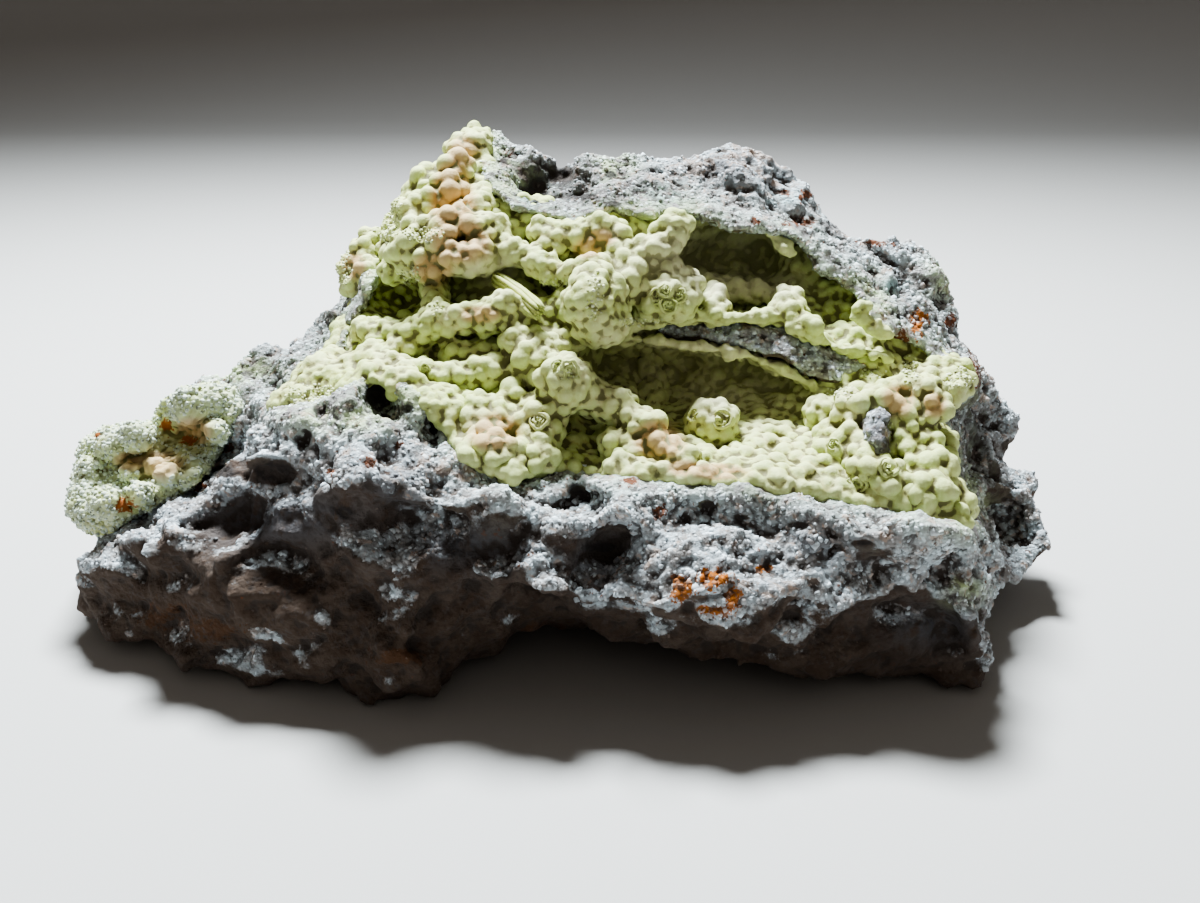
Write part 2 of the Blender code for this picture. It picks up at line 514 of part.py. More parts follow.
def ground_cutter():
    """Everything below the underside: level with the feet, arched up between them."""
    low, high, step = -95.0, 95.0, 5.0
    count = round((high - low) / step) + 1
    points, faces = [], []
    for row in range(count):
        for column in range(count):
            x, y = low + column * step, low + row * step
            gap = min(math.hypot(x - fx, y - fy) - radius for fx, fy, radius in FEET)
            rise = min(1.0, max(0.0, (gap - step) / ARCH_RISE))
            swell = 0.75 + 0.5 * noise.noise(Vector((x, y, 0)) / 17)
            points.append((x * MM, y * MM, ARCH_HEIGHT * swell * rise * MM))
    for row in range(count - 1):
        for column in range(count - 1):
            corner = row * count + column
            faces.append((corner, corner + 1, corner + count + 1, corner + count))
    sheet = bpy.data.meshes.new("ground")
    sheet.from_pydata(points, [], faces)
    shape = bmesh.new()
    shape.from_mesh(sheet)
    bmesh.ops.triangulate(shape, faces=shape.faces)
    grown = bmesh.ops.extrude_face_region(shape, geom=shape.faces[:])
    for vert in (g for g in grown["geom"] if isinstance(g, bmesh.types.BMVert)):
        vert.co.z = -40 * MM
    bmesh.ops.recalc_face_normals(shape, faces=shape.faces)
    shape.to_mesh(sheet)
    shape.free()
    return new_object("ground", sheet)


def matrix_rock():
    """The craggy host rock, open where the pockets are."""
    back = depth_field(CROWN_BACK)
    bodies = [
        relief_body("wall", WALL_OUTLINE, depth_field(WALL_FRONT), level(10), 4),
        relief_body("crown", CROWN_OUTLINE, depth_field(CROWN_FRONT), back, 7),
        relief_body("hump", HUMP_OUTLINE, depth_field(HUMP_FRONT), level(15), 5),
        relief_body("left_lump", LEFT_LUMP_OUTLINE, depth_field(LEFT_LUMP_FRONT), level(13), 4),
        relief_body("right_lump", RIGHT_LUMP_OUTLINE, depth_field(RIGHT_LUMP_FRONT), level(14), 3),
        relief_body("shelf", SHELF_OUTLINE, level(-40.5), level(-20), 2.5),
    ]
    bodies += [lump("wall_lump", centre, radii) for centre, radii in WALL_LUMPS]
    rock = fused(joined("matrix_rock", bodies), ROCK_VOXEL)
    rock = cut(rock, joined("pits", [lump("pit", c, r, 2) for c, r in ROCK_PITS]))
    rock = fused(rock, ROCK_VOXEL)
    roughen(rock, ROCK_RELIEF)
    rock = reduced(fused(rock, ROCK_VOXEL), ROCK_TRIANGLES)
    rock = cut(rock, ground_cutter())
    rock = cut(rock, pocket_cutter("pocket", POCKET_OUTLINE, CRUST_FRONT))
    rock = cut(rock, pocket_cutter("side_pocket", SIDE_POCKET_OUTLINE, SIDE_FRONT))
    return dress(largest_body(rock), ROCK_COLOUR, 0.9)


def lining(name, bodies, triangles, outline, front):
    """A crust: its bodies fused, beaded over and fitted to their pocket."""
    crust = fused(joined(name, bodies), CRUST_VOXEL)
    roughen(crust, [(BEAD, BEAD / 2, "bead")])
    crust = reduced(fused(crust, CRUST_VOXEL), triangles)
    crust = cut(crust, pocket_cutter("bound", outline, front, FIT_GAP), "INTERSECT")
    return largest_body(crust)


def wavellite_crust():
    """The botryoidal lining of the large hollow, with its ledge, bars, pillars and knobs."""
    bodies = [
        relief_body("floor", CRUST_OUTLINE, depth_field(CRUST_FRONT), level(20), 1.5, 2.5),
        relief_body("ledge", LEDGE_OUTLINE, level(LEDGE_DEPTHS[0]), level(LEDGE_DEPTHS[1]), 1.0, 2.0),
    ]
    for name, (radius, line) in CRUST_BARS.items():
        bodies += bar(name, line, radius)
    for across, up, deep, radius in CRUST_KNOBS:
        bodies.append(lump("knob", (across, up, deep), [radius] * 3, 2))
    crust = lining("wavellite_crust", bodies, CRUST_TRIANGLES, POCKET_OUTLINE, CRUST_FRONT)
    return dress(crust, CRUST_COLOUR, 0.75)


def side_crust():
    """The thinner crust over the small hollow at the left end."""
    bodies = [relief_body("side_floor", SIDE_OUTLINE, depth_field(SIDE_FRONT), level(8), 1.5, 2.5)]
    for across, up, deep, radius in SIDE_KNOBS:
        bodies.append(lump("knob", (across, up, deep), [radius] * 3, 2))
    crust = lining("side_hollow_crust", bodies, SIDE_TRIANGLES, SIDE_POCKET_OUTLINE, SIDE_FRONT)
    return dress(crust, SIDE_COLOUR, 0.8)


def main():
    for obj in list(bpy.data.objects):
        bpy.data.objects.remove(obj)
    matrix_rock()
    wavellite_crust()
    side_crust()


main()
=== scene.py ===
import math

import bmesh
import bpy
import numpy as np
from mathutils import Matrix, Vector, noise
from mathutils.bvhtree import BVHTree
from mathutils.geometry import delaunay_2d_cdt


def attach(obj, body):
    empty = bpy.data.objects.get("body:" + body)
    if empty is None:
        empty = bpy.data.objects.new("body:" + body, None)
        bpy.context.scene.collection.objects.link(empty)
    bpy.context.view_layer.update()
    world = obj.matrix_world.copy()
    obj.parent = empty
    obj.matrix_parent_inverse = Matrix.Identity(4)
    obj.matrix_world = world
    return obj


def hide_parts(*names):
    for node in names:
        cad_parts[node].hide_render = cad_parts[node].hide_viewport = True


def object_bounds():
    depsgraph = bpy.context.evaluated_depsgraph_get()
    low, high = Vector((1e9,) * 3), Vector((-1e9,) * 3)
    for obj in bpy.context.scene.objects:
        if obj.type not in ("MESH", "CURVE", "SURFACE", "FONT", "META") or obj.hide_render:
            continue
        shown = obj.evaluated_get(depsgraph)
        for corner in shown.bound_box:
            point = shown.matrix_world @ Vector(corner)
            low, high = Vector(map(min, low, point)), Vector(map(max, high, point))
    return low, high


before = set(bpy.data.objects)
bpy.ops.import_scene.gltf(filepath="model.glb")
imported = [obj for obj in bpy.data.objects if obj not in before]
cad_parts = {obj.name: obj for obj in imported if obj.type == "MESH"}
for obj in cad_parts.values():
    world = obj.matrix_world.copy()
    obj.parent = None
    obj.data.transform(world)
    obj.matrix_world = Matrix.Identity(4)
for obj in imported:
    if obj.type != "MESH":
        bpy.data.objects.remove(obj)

mm = 0.001
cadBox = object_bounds()

# The specimen is laid out on its display face, which leans back. A point is (across, up, deep) in mm:
# right, up the face and into the block, widening with depth like rays from one eye point.
layout = {
    "eye": (5.0, -172.6, 84.7),  # mm
    "tilt": 19.3,  # degrees that the face leans back, and that the camera looks down
    "reach": 187.5,  # mm from the eye to the face
    "lens": 37.5,
}
tilt = math.radians(layout["tilt"])
eye = np.array(layout["eye"])
rightWay = np.array((1.0, 0.0, 0.0))
upWay = np.array((0.0, math.sin(tilt), math.cos(tilt)))
inWay = np.array((0.0, math.cos(tilt), -math.sin(tilt)))


def toWorld(points):
    # layout points in mm as places in metres
    points = np.asarray(points, float).reshape(-1, 3)
    spread = 1 + points[:, 2:] / layout["reach"]
    across = rightWay * points[:, :1] * spread
    up = upWay * points[:, 1:2] * spread
    return (eye + across + up + inWay * layout["reach"] * spread) * mm


def toLayout(points):
    # places in metres as layout points in mm
    offset = np.asarray(points) / mm - eye
    spread = offset @ inWay / layout["reach"]
    return np.stack(
        (offset @ rightWay / spread, offset @ upWay / spread, (spread - 1) * layout["reach"]), axis=1
    )


def link(name, data):
    obj = bpy.data.objects.new(name, data)
    bpy.context.scene.collection.objects.link(obj)
    return obj


def drop(obj):
    mesh = obj.data
    bpy.data.objects.remove(obj)
    bpy.data.meshes.remove(mesh)


def meshFrom(name, points, faces):
    # points and equal-sided faces as arrays
    faces = np.asarray(faces, np.int32)
    sides = faces.shape[1]
    mesh = bpy.data.meshes.new(name)
    mesh.vertices.add(len(points))
    mesh.vertices.foreach_set("co", np.asarray(points, np.float32).ravel())
    mesh.loops.add(faces.size)
    mesh.loops.foreach_set("vertex_index", faces.ravel())
    mesh.polygons.add(len(faces))
    mesh.polygons.foreach_set("loop_start", np.arange(0, faces.size, sides, dtype=np.int32))
    mesh.update(calc_edges=True)
    mesh.validate()
    return mesh


def pointsOf(mesh):
    values = np.empty(len(mesh.vertices) * 3, np.float32)
    mesh.vertices.foreach_get("co", values)
    return values.reshape(-1, 3).astype(float)


def normalsOf(mesh):
    values = np.empty(len(mesh.vertices) * 3, np.float32)
    mesh.vertices.foreach_get("normal", values)
    return values.reshape(-1, 3).astype(float)


def movePoints(mesh, points):
    mesh.vertices.foreach_set("co", np.asarray(points, np.float32).ravel())
    mesh.update()


def edgesOf(mesh):
    values = np.empty(len(mesh.edges) * 2, np.int32)
    mesh.edges.foreach_get("vertices", values)
    return values.reshape(-1, 2)


def spreadOut(values, edges, rounds):
    # each value moves to the mean of its neighbours, this many times
    values = np.array(values, float)
    flat = values.ndim == 1
    if flat:
        values = values[:, None]
    count = len(values)
    near = np.maximum(np.bincount(edges.ravel(), minlength=count), 1)[:, None]
    for _ in range(rounds):
        total = np.stack([
            np.bincount(edges[:, 0], values[edges[:, 1], k], count)
            + np.bincount(edges[:, 1], values[edges[:, 0], k], count)
            for k in range(values.shape[1])
        ], axis=1)
        values += total / near - values
    return values[:, 0] if flat else values


def paint(mesh, name, values):
    layer = mesh.attributes.get(name) or mesh.attributes.new(name, "FLOAT", "POINT")
    layer.data.foreach_set("value", np.asarray(values, np.float32))


def baked(obj):
    # the object's modifiers made part of its mesh
    graph = bpy.context.evaluated_depsgraph_get()
    mesh = bpy.data.meshes.new_from_object(obj.evaluated_get(graph))
    old = obj.data
    obj.modifiers.clear()
    obj.data = mesh
    bpy.data.meshes.remove(old)
    return obj


def fuse(obj, voxel):
    # overlapping bodies turned into one closed skin, with faces of this size in mm
    remesh = obj.modifiers.new("Fuse", "REMESH")
    remesh.mode = "VOXEL"
    remesh.voxel_size = voxel * mm
    return baked(obj)


def gather(name, objects):
    # several objects turned into one
    whole = bmesh.new()
    for obj in objects:
        whole.from_mesh(obj.data)
        drop(obj)
    mesh = bpy.data.meshes.new(name)
    whole.to_mesh(mesh)
    whole.free()
    return link(name, mesh)


def bodiesOf(mesh):
    # a number for each vertex: the body that it belongs to
    edges = edgesOf(mesh)
    label = np.arange(len(mesh.vertices))
    while True:
        low = np.minimum(label[edges[:, 0]], label[edges[:, 1]])
        fresh = label.copy()
        np.minimum.at(fresh, edges[:, 0], low)
        np.minimum.at(fresh, edges[:, 1], low)
        fresh = fresh[fresh]
        if (fresh == label).all():
            return label
        label = fresh


def dropCrumbs(obj, fewest):
    # takes out loose bodies with fewer vertices than this
    label = bodiesOf(obj.data)
    sizes = np.bincount(label, minlength=len(label))
    loose = set(np.flatnonzero(sizes[label] < fewest).tolist())
    if loose:
        shape = bmesh.new()
        shape.from_mesh(obj.data)
        bmesh.ops.delete(shape, geom=[v for v in shape.verts if v.index in loose], context="VERTS")
        shape.to_mesh(obj.data)
        shape.free()
    return obj


def thin(obj, triangles, hidden):
    # thins the hidden vertices to a tenth at most, and then the whole mesh, to reach this many triangles
    for part, least in ((hidden, 1 - 0.9 * np.mean(hidden)), (None, 0)):
        obj.data.calc_loop_triangles()
        have = len(obj.data.loop_triangles)
        if have <= triangles:
            continue
        decimate = obj.modifiers.new("Thin", "DECIMATE")
        decimate.ratio = max(triangles / have, least)
        if part is not None:
            group = obj.vertex_groups.new(name="hidden")
            group.add(np.flatnonzero(part).tolist(), 1.0, "REPLACE")
            decimate.vertex_group = group.name
        baked(obj)
        obj.vertex_groups.clear()
    return obj


def finished(obj, material, nodes=()):
    obj.data.materials.clear()
    obj.data.materials.append(material)
    obj.data.shade_smooth()
    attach(obj, "root")
    if nodes:
        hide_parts(*nodes)
    obj.data.calc_loop_triangles()
    print(obj.name, len(obj.data.loop_triangles), "triangles")
    return obj


def depthField(points):
    # a taut surface of depth through scattered (across, up, deep) points
    known = np.array(points, float)
    count = len(known)
    system = np.ones((count + 1, count + 1))
    system[:count, :count] = np.linalg.norm(known[:, None, :2] - known[None, :, :2], axis=2)
    system[count, count] = 0
    weights = np.linalg.solve(system, np.append(known[:, 2], 0))

    def depth(places):
        reach = np.linalg.norm(places[:, None, :] - known[None, :, :2], axis=2)
        return reach @ weights[:count] + weights[count]

    return depth


def level(depth):
    return lambda places: np.full(len(places), float(depth))


def outlineGap(places, outline):
    # how far each place is from an outline
    start = np.array(outline, float)
    edge = np.roll(start, -1, axis=0) - start
    offset = places[:, None, :] - start[None]
    along = np.clip((offset * edge).sum(2) / (edge**2).sum(1), 0, 1)
    return np.linalg.norm(offset - along[..., None] * edge, axis=2).min(1)


def inside(places, outline):
    ends = np.array(outline, float)
    starts = np.roll(ends, 1, axis=0)
    crossed = np.zeros(len(places), bool)
    for (x0, y0), (x1, y1) in zip(starts, ends):
        spans = (y0 > places[:, 1]) != (y1 > places[:, 1])
        if y0 != y1:
            crossed ^= spans & (places[:, 0] < (x1 - x0) * (places[:, 1] - y0) / (y1 - y0) + x0)
    return crossed


def divided(outline, step):
    # an outline with points no further apart than this step
    points = []
    for (x0, y0), (x1, y1) in zip(outline, outline[1:] + outline[:1]):
        pieces = max(1, math.ceil(math.hypot(x1 - x0, y1 - y0) / step))
        points += [(x0 + (x1 - x0) * i / pieces, y0 + (y1 - y0) * i / pieces) for i in range(pieces)]
    return points


def closedBodies(name, points, faces):
    # closed bodies as one object, with every face turned outwards
    mesh = bpy.data.meshes.new(name)
    mesh.from_pydata([tuple(p) for p in points], [], faces)
    shape = bmesh.new()
    shape.from_mesh(mesh)
    bmesh.ops.recalc_face_normals(shape, faces=shape.faces[:])
    shape.to_mesh(mesh)
    shape.free()
    return link(name, mesh)


def reliefBody(name, outline, front, back, roundness, step):
    # a body inside an outline between two depths, with a rounded rim, from triangles of this step in mm
    edge = divided(outline, step)
    low, high = np.min(edge, axis=0), np.max(edge, axis=0)
    grid = np.array([
        (x + (row % 2) * step / 2, y)
        for row, y in enumerate(np.arange(low[1] + step / 2, high[1], step * 0.87))
        for x in np.arange(low[0], high[0], step)
    ])
    kept = grid[inside(grid, outline) & (outlineGap(grid, edge) > step * 0.5)]
    corners = [Vector(p) for p in edge] + [Vector(p) for p in kept]
    rim = [(i, (i + 1) % len(edge)) for i in range(len(edge))]
    flat = delaunay_2d_cdt(corners, rim, [list(range(len(edge)))], 1, 1e-5)
    places = np.array([tuple(v) for v in flat[0]])
    faces = [tuple(f) for f in flat[2]]
    fromRim = np.clip(outlineGap(places, outline) / max(roundness, 1e-6), 0, 1)
    inset = roundness * (1 - np.sqrt(1 - (1 - fromRim) ** 2))
    near = front(places) + inset
    far = np.maximum(back(places) - inset, near + 0.8)
    count = len(places)
    points = np.concatenate((
        toWorld(np.column_stack((places, near))), toWorld(np.column_stack((places, far)))
    ))
    pairs = {(a, b) for face in faces for a, b in zip(face, face[1:] + face[:1])}
    alone = [(a, b) for a, b in pairs if (b, a) not in pairs]
    shell = faces + [tuple(i + count for i in reversed(f)) for f in faces]
    shell += [(b, a, a + count) for a, b in alone] + [(b, a + count, b + count) for a, b in alone]
    return closedBodies(name, points, shell)


def ballsObject(name, balls):
    # balls is rows of (across, up, deep, radius)
    balls = np.array(balls, float)
    shape = bmesh.new()
    bmesh.ops.create_icosphere(shape, subdivisions=2, radius=1.0)
    points = np.array([tuple(v.co) for v in shape.verts])
    faces = np.array([[v.index for v in f.verts] for f in shape.faces])
    shape.free()
    centres = toWorld(balls[:, :3])
    everyPoint = (centres[:, None] + points[None] * (balls[:, 3] * mm)[:, None, None]).reshape(-1, 3)
    everyFace = (faces[None] + (np.arange(len(balls)) * len(points))[:, None, None]).reshape(-1, 3)
    return link(name, meshFrom(name, everyPoint, everyFace))


def barBalls(radius, line):
    # overlapping beads along a line, uneven and a little off it
    rows = []
    for start, end in zip(line, line[1:]):
        start, end = np.array(start, float), np.array(end, float)
        count = max(1, math.ceil(np.linalg.norm(end - start) / (radius * 0.8)))
        rows += [start + (end - start) * i / count for i in range(count)]
    rows.append(np.array(line[-1], float))
    balls = []
    for place in rows:
        drift = driftAt(Vector(place) * 0.9) * radius * 0.55
        swell = 1.05 + 0.45 * noise.noise(Vector(place) * 0.6 + Vector((9, 0, 0)))
        balls.append((*(place + np.array(drift)), radius * swell))
    return balls


def turnedAway(mesh):
    # how far each vertex faces away from the eye point, -1 to 1
    ray = pointsOf(mesh) - eye * mm
    ray /= np.linalg.norm(ray, axis=1, keepdims=True)
    return (normalsOf(mesh) * ray).sum(1)


def spots(places, rows):
    # how much each place is covered by soft round spots: rows of (across, up, width, height)
    cover = np.zeros(len(places))
    for across, up, width, height in rows:
        gap = ((places[:, 0] - across) / width) ** 2 + ((places[:, 1] - up) / height) ** 2
        cover = np.maximum(cover, np.exp(-gap))
    return cover


def driftAt(place):
    # three smooth noises of about -1 to 1 at a place, the same in every run
    shifts = ((3.3, 0, 0), (0, 31.7, 0), (0, 0, 57.1))
    return Vector([noise.noise(place + Vector(shift)) for shift in shifts])


def noiseAt(points, size, seed=0.0):
    # smooth noise of about -1 to 1 at each point, for points in metres and a size in mm
    shift = Vector((seed, 1.7 * seed, 2.3 * seed))
    return np.array([noise.noise(Vector(p) + shift) for p in np.asarray(points) / (size * mm)]) * 1.6


def ruffled(mesh, waves, share=1.0):
    # the surface moved along its normals by noise: rows of height and size in mm, and seed
    points = pointsOf(mesh)
    lift = sum(height * noiseAt(points, size, seed) for height, size, seed in waves)
    movePoints(mesh, points + normalsOf(mesh) * (lift * share)[:, None] * mm)


def cellsAt(points, size, seed=0.0):
    # distances to the nearest two cell centres, in cells
    shift = Vector((seed, 1.7 * seed, 2.3 * seed))
    rows = [noise.voronoi(Vector(p) + shift)[0][:2] for p in np.asarray(points) / (size * mm)]
    return np.array(rows)


def paintHollows(mesh, creaseScale=0.05):
    # fine and broad concavity, about -1 on tops to 1 in creases; the finishes paint shade into creases and
    # dips, and highlights on tops, from it
    edges = edgesOf(mesh)
    points, normals = pointsOf(mesh), normalsOf(mesh)
    for name, rounds, scale in (("crease", 2, creaseScale), ("dip", 14, creaseScale * 5)):
        rise = ((spreadOut(points, edges, rounds) - points) * normals).sum(1) / (scale * mm)
        paint(mesh, name, np.clip(spreadOut(rise, edges, 1), -1.5, 1.5))


class Wire:
    def __init__(self, graph, socket):
        self.graph = graph
        self.socket = socket

    def __add__(self, other):
        return self.graph.maths("ADD", self, other)

    def __sub__(self, other):
        return self.graph.maths("SUBTRACT", self, other)

    def __mul__(self, other):
        return self.graph.maths("MULTIPLY", self, other)

    def __rsub__(self, other):
        return self.graph.maths("SUBTRACT", other, self)

    __radd__ = __add__
    __rmul__ = __mul__


class Graph:
    def __init__(self, tree):
        self.tree = tree

    def node(self, kind, settings=None, sockets=None, output=0):
        made = self.tree.nodes.new(kind)
        for name, value in (settings or {}).items():
            setattr(made, name, value)
        for name, value in (sockets or {}).items():
            if isinstance(value, Wire):
                self.tree.links.new(value.socket, made.inputs[name])
            else:
                made.inputs[name].default_value = value
        return Wire(self, made.outputs[output]) if made.outputs else made

    def maths(self, operation, first, second, clamp=False):
        return self.node("ShaderNodeMath", {"operation": operation, "use_clamp": clamp},
                         {0: first, 1: second})

    def clamped(self, value):
        return self.maths("ADD", value, 0.0, clamp=True)

    def between(self, value, low, high):
        # 0 below low, 1 above high, smooth in between
        return self.node("ShaderNodeMapRange", {"interpolation_type": "SMOOTHSTEP"},
                         {"Value": value, "From Min": low, "From Max": high})

    def blend(self, mask, first, second):
        settings = {"data_type": "RGBA", "clamp_factor": True}
        return self.node("ShaderNodeMix", settings, {0: mask, 6: first, 7: second}, 2)

    def attribute(self, name):
        return self.node("ShaderNodeAttribute", {"attribute_name": name}, None, "Fac")

    def coordinates(self):
        return self.node("ShaderNodeTexCoord", None, None, "Object")

    def noise(self, where, size, detail=3.0, rough=0.55, warp=0.0):
        return self.node("ShaderNodeTexNoise", None, {
            "Vector": where, "Scale": 1 / (size * mm), "Detail": detail, "Roughness": rough,
            "Distortion": warp,
        })

    def cells(self, where, size):
        sockets = {"Vector": where, "Scale": 1 / (size * mm)}
        return self.node("ShaderNodeTexVoronoi", None, sockets, "Distance")


def colour(red, green, blue):
    return (red, green, blue, 1.0)


def newMaterial(name):
    material = bpy.data.materials.new(name)
    material.use_nodes = True
    material.node_tree.nodes.clear()
    return material, Graph(material.node_tree)


def shade(graph, base, rough, height, strength, distance):
    # ends a material: a Principled surface with one bump, its distance in mm
    bump = graph.node("ShaderNodeBump", None, {
        "Strength": strength, "Distance": distance * mm, "Height": height,
    })
    surface = graph.node("ShaderNodeBsdfPrincipled", None, {
        "Base Color": base, "Roughness": rough, "Normal": bump, "Specular IOR Level": 0.35,
    })
    graph.node("ShaderNodeOutputMaterial", None, {"Surface": surface})


def graphInputs(tree, rows):
    tree.interface.new_socket("Geometry", in_out="INPUT", socket_type="NodeSocketGeometry")
    for name, kind in rows:
        tree.interface.new_socket(name, in_out="INPUT", socket_type="NodeSocket" + kind)
    tree.interface.new_socket("Geometry", in_out="OUTPUT", socket_type="NodeSocketGeometry")
    return tree.nodes.new("NodeGroupInput")


def scatterTree():
    # irregular balls scattered over a surface, sunk into it a little, each with a tone of its own
    tree = bpy.data.node_groups.new("ScatteredGrains", "GeometryNodeTree")
    graph = Graph(tree)
    names = ("Spacing", "Density", "Smallest", "Largest", "Squash", "Sink", "Uneven")
    given = graphInputs(tree, [(name, "Float") for name in names] + [
        ("Sides", "Int"), ("Rings", "Int"), ("Seed", "Int"), ("Material", "Material"),
    ])
    take = {socket.name: Wire(graph, socket) for socket in given.outputs}

    def painted(name):
        return graph.node("GeometryNodeInputNamedAttribute", {"data_type": "FLOAT"}, {"Name": name})

    def chance(low, high, shift=0):
        seed = take["Seed"] + shift if shift else take["Seed"]
        sockets = {2: low, 3: high, "Seed": seed}
        return graph.node("FunctionNodeRandomValue", {"data_type": "FLOAT"}, sockets, 1)

    def chances(low, high, shift):
        sockets = {0: low, 1: high, "Seed": take["Seed"] + shift}
        return graph.node("FunctionNodeRandomValue", {"data_type": "FLOAT_VECTOR"}, sockets)

    def scaled(vector, amount):
        return graph.node("ShaderNodeVectorMath", {"operation": "SCALE"}, {0: vector, "Scale": amount})

    scatter = tree.nodes.new("GeometryNodeDistributePointsOnFaces")
    scatter.distribute_method = "POISSON"
    for name, wire in (("Mesh", take["Geometry"]), ("Distance Min", take["Spacing"]),
                       ("Density Max", take["Density"]), ("Density Factor", painted("cover")),
                       ("Seed", take["Seed"])):
        tree.links.new(wire.socket, scatter.inputs[name])
    radius = chance(take["Smallest"], take["Largest"]) * painted("size")
    least = 1 - take["Squash"]
    low = graph.node("ShaderNodeCombineXYZ", None, {0: least, 1: least, 2: least})
    scale = scaled(chances(low, (1.0, 1.0, 1.0), 3), radius)
    turn = chances((0.0, 0.0, 0.0), (6.28, 6.28, 6.28), 5)
    sunk = scaled(Wire(graph, scatter.outputs["Normal"]), radius * take["Sink"] * -1)
    moved = graph.node("GeometryNodeSetPosition", None,
                       {"Geometry": Wire(graph, scatter.outputs["Points"]), "Offset": sunk})
    ball = graph.node("GeometryNodeMeshUVSphere", None,
                      {"Radius": 1.0, "Segments": take["Sides"], "Rings": take["Rings"]})
    around = graph.node("GeometryNodeInputPosition")
    lump = graph.node("ShaderNodeTexNoise", None, {"Vector": around, "Scale": 1.1, "Detail": 1.0}, 1)
    push = graph.node("ShaderNodeVectorMath", {"operation": "SUBTRACT"}, {0: lump, 1: (0.5, 0.5, 0.5)})
    ball = graph.node("GeometryNodeSetPosition", None,
                      {"Geometry": ball, "Offset": scaled(push, take["Uneven"])})
    grains = graph.node("GeometryNodeInstanceOnPoints", None,
                        {"Points": moved, "Instance": ball, "Rotation": turn, "Scale": scale})
    toned = graph.node("GeometryNodeStoreNamedAttribute", {"data_type": "FLOAT", "domain": "INSTANCE"},
                       {"Geometry": grains, "Name": "tone", "Value": chance(0.0, 1.0, 7)})
    real = graph.node("GeometryNodeRealizeInstances", None, {"Geometry": toned})
    dressed = graph.node("GeometryNodeSetMaterial", None, {"Geometry": real, "Material": take["Material"]})
    graph.node("NodeGroupOutput", None, {"Geometry": dressed})
    return tree


def scattered(name, ground, tree, material, form):
    # the balls that the scatter tree grows on the ground object's mesh, as their own object
    obj = link(name, ground.data.copy())
    modifier = obj.modifiers.new("Scatter", "NODES")
    modifier.node_group = tree
    for item in tree.interface.items_tree:
        if item.in_out == "OUTPUT" or item.name == "Geometry":
            continue
        value = material if item.name == "Material" else form[item.name.lower()]
        inMm = item.name in ("Spacing", "Smallest", "Largest")
        modifier[item.identifier] = value * mm if inMm else value
    return baked(obj)


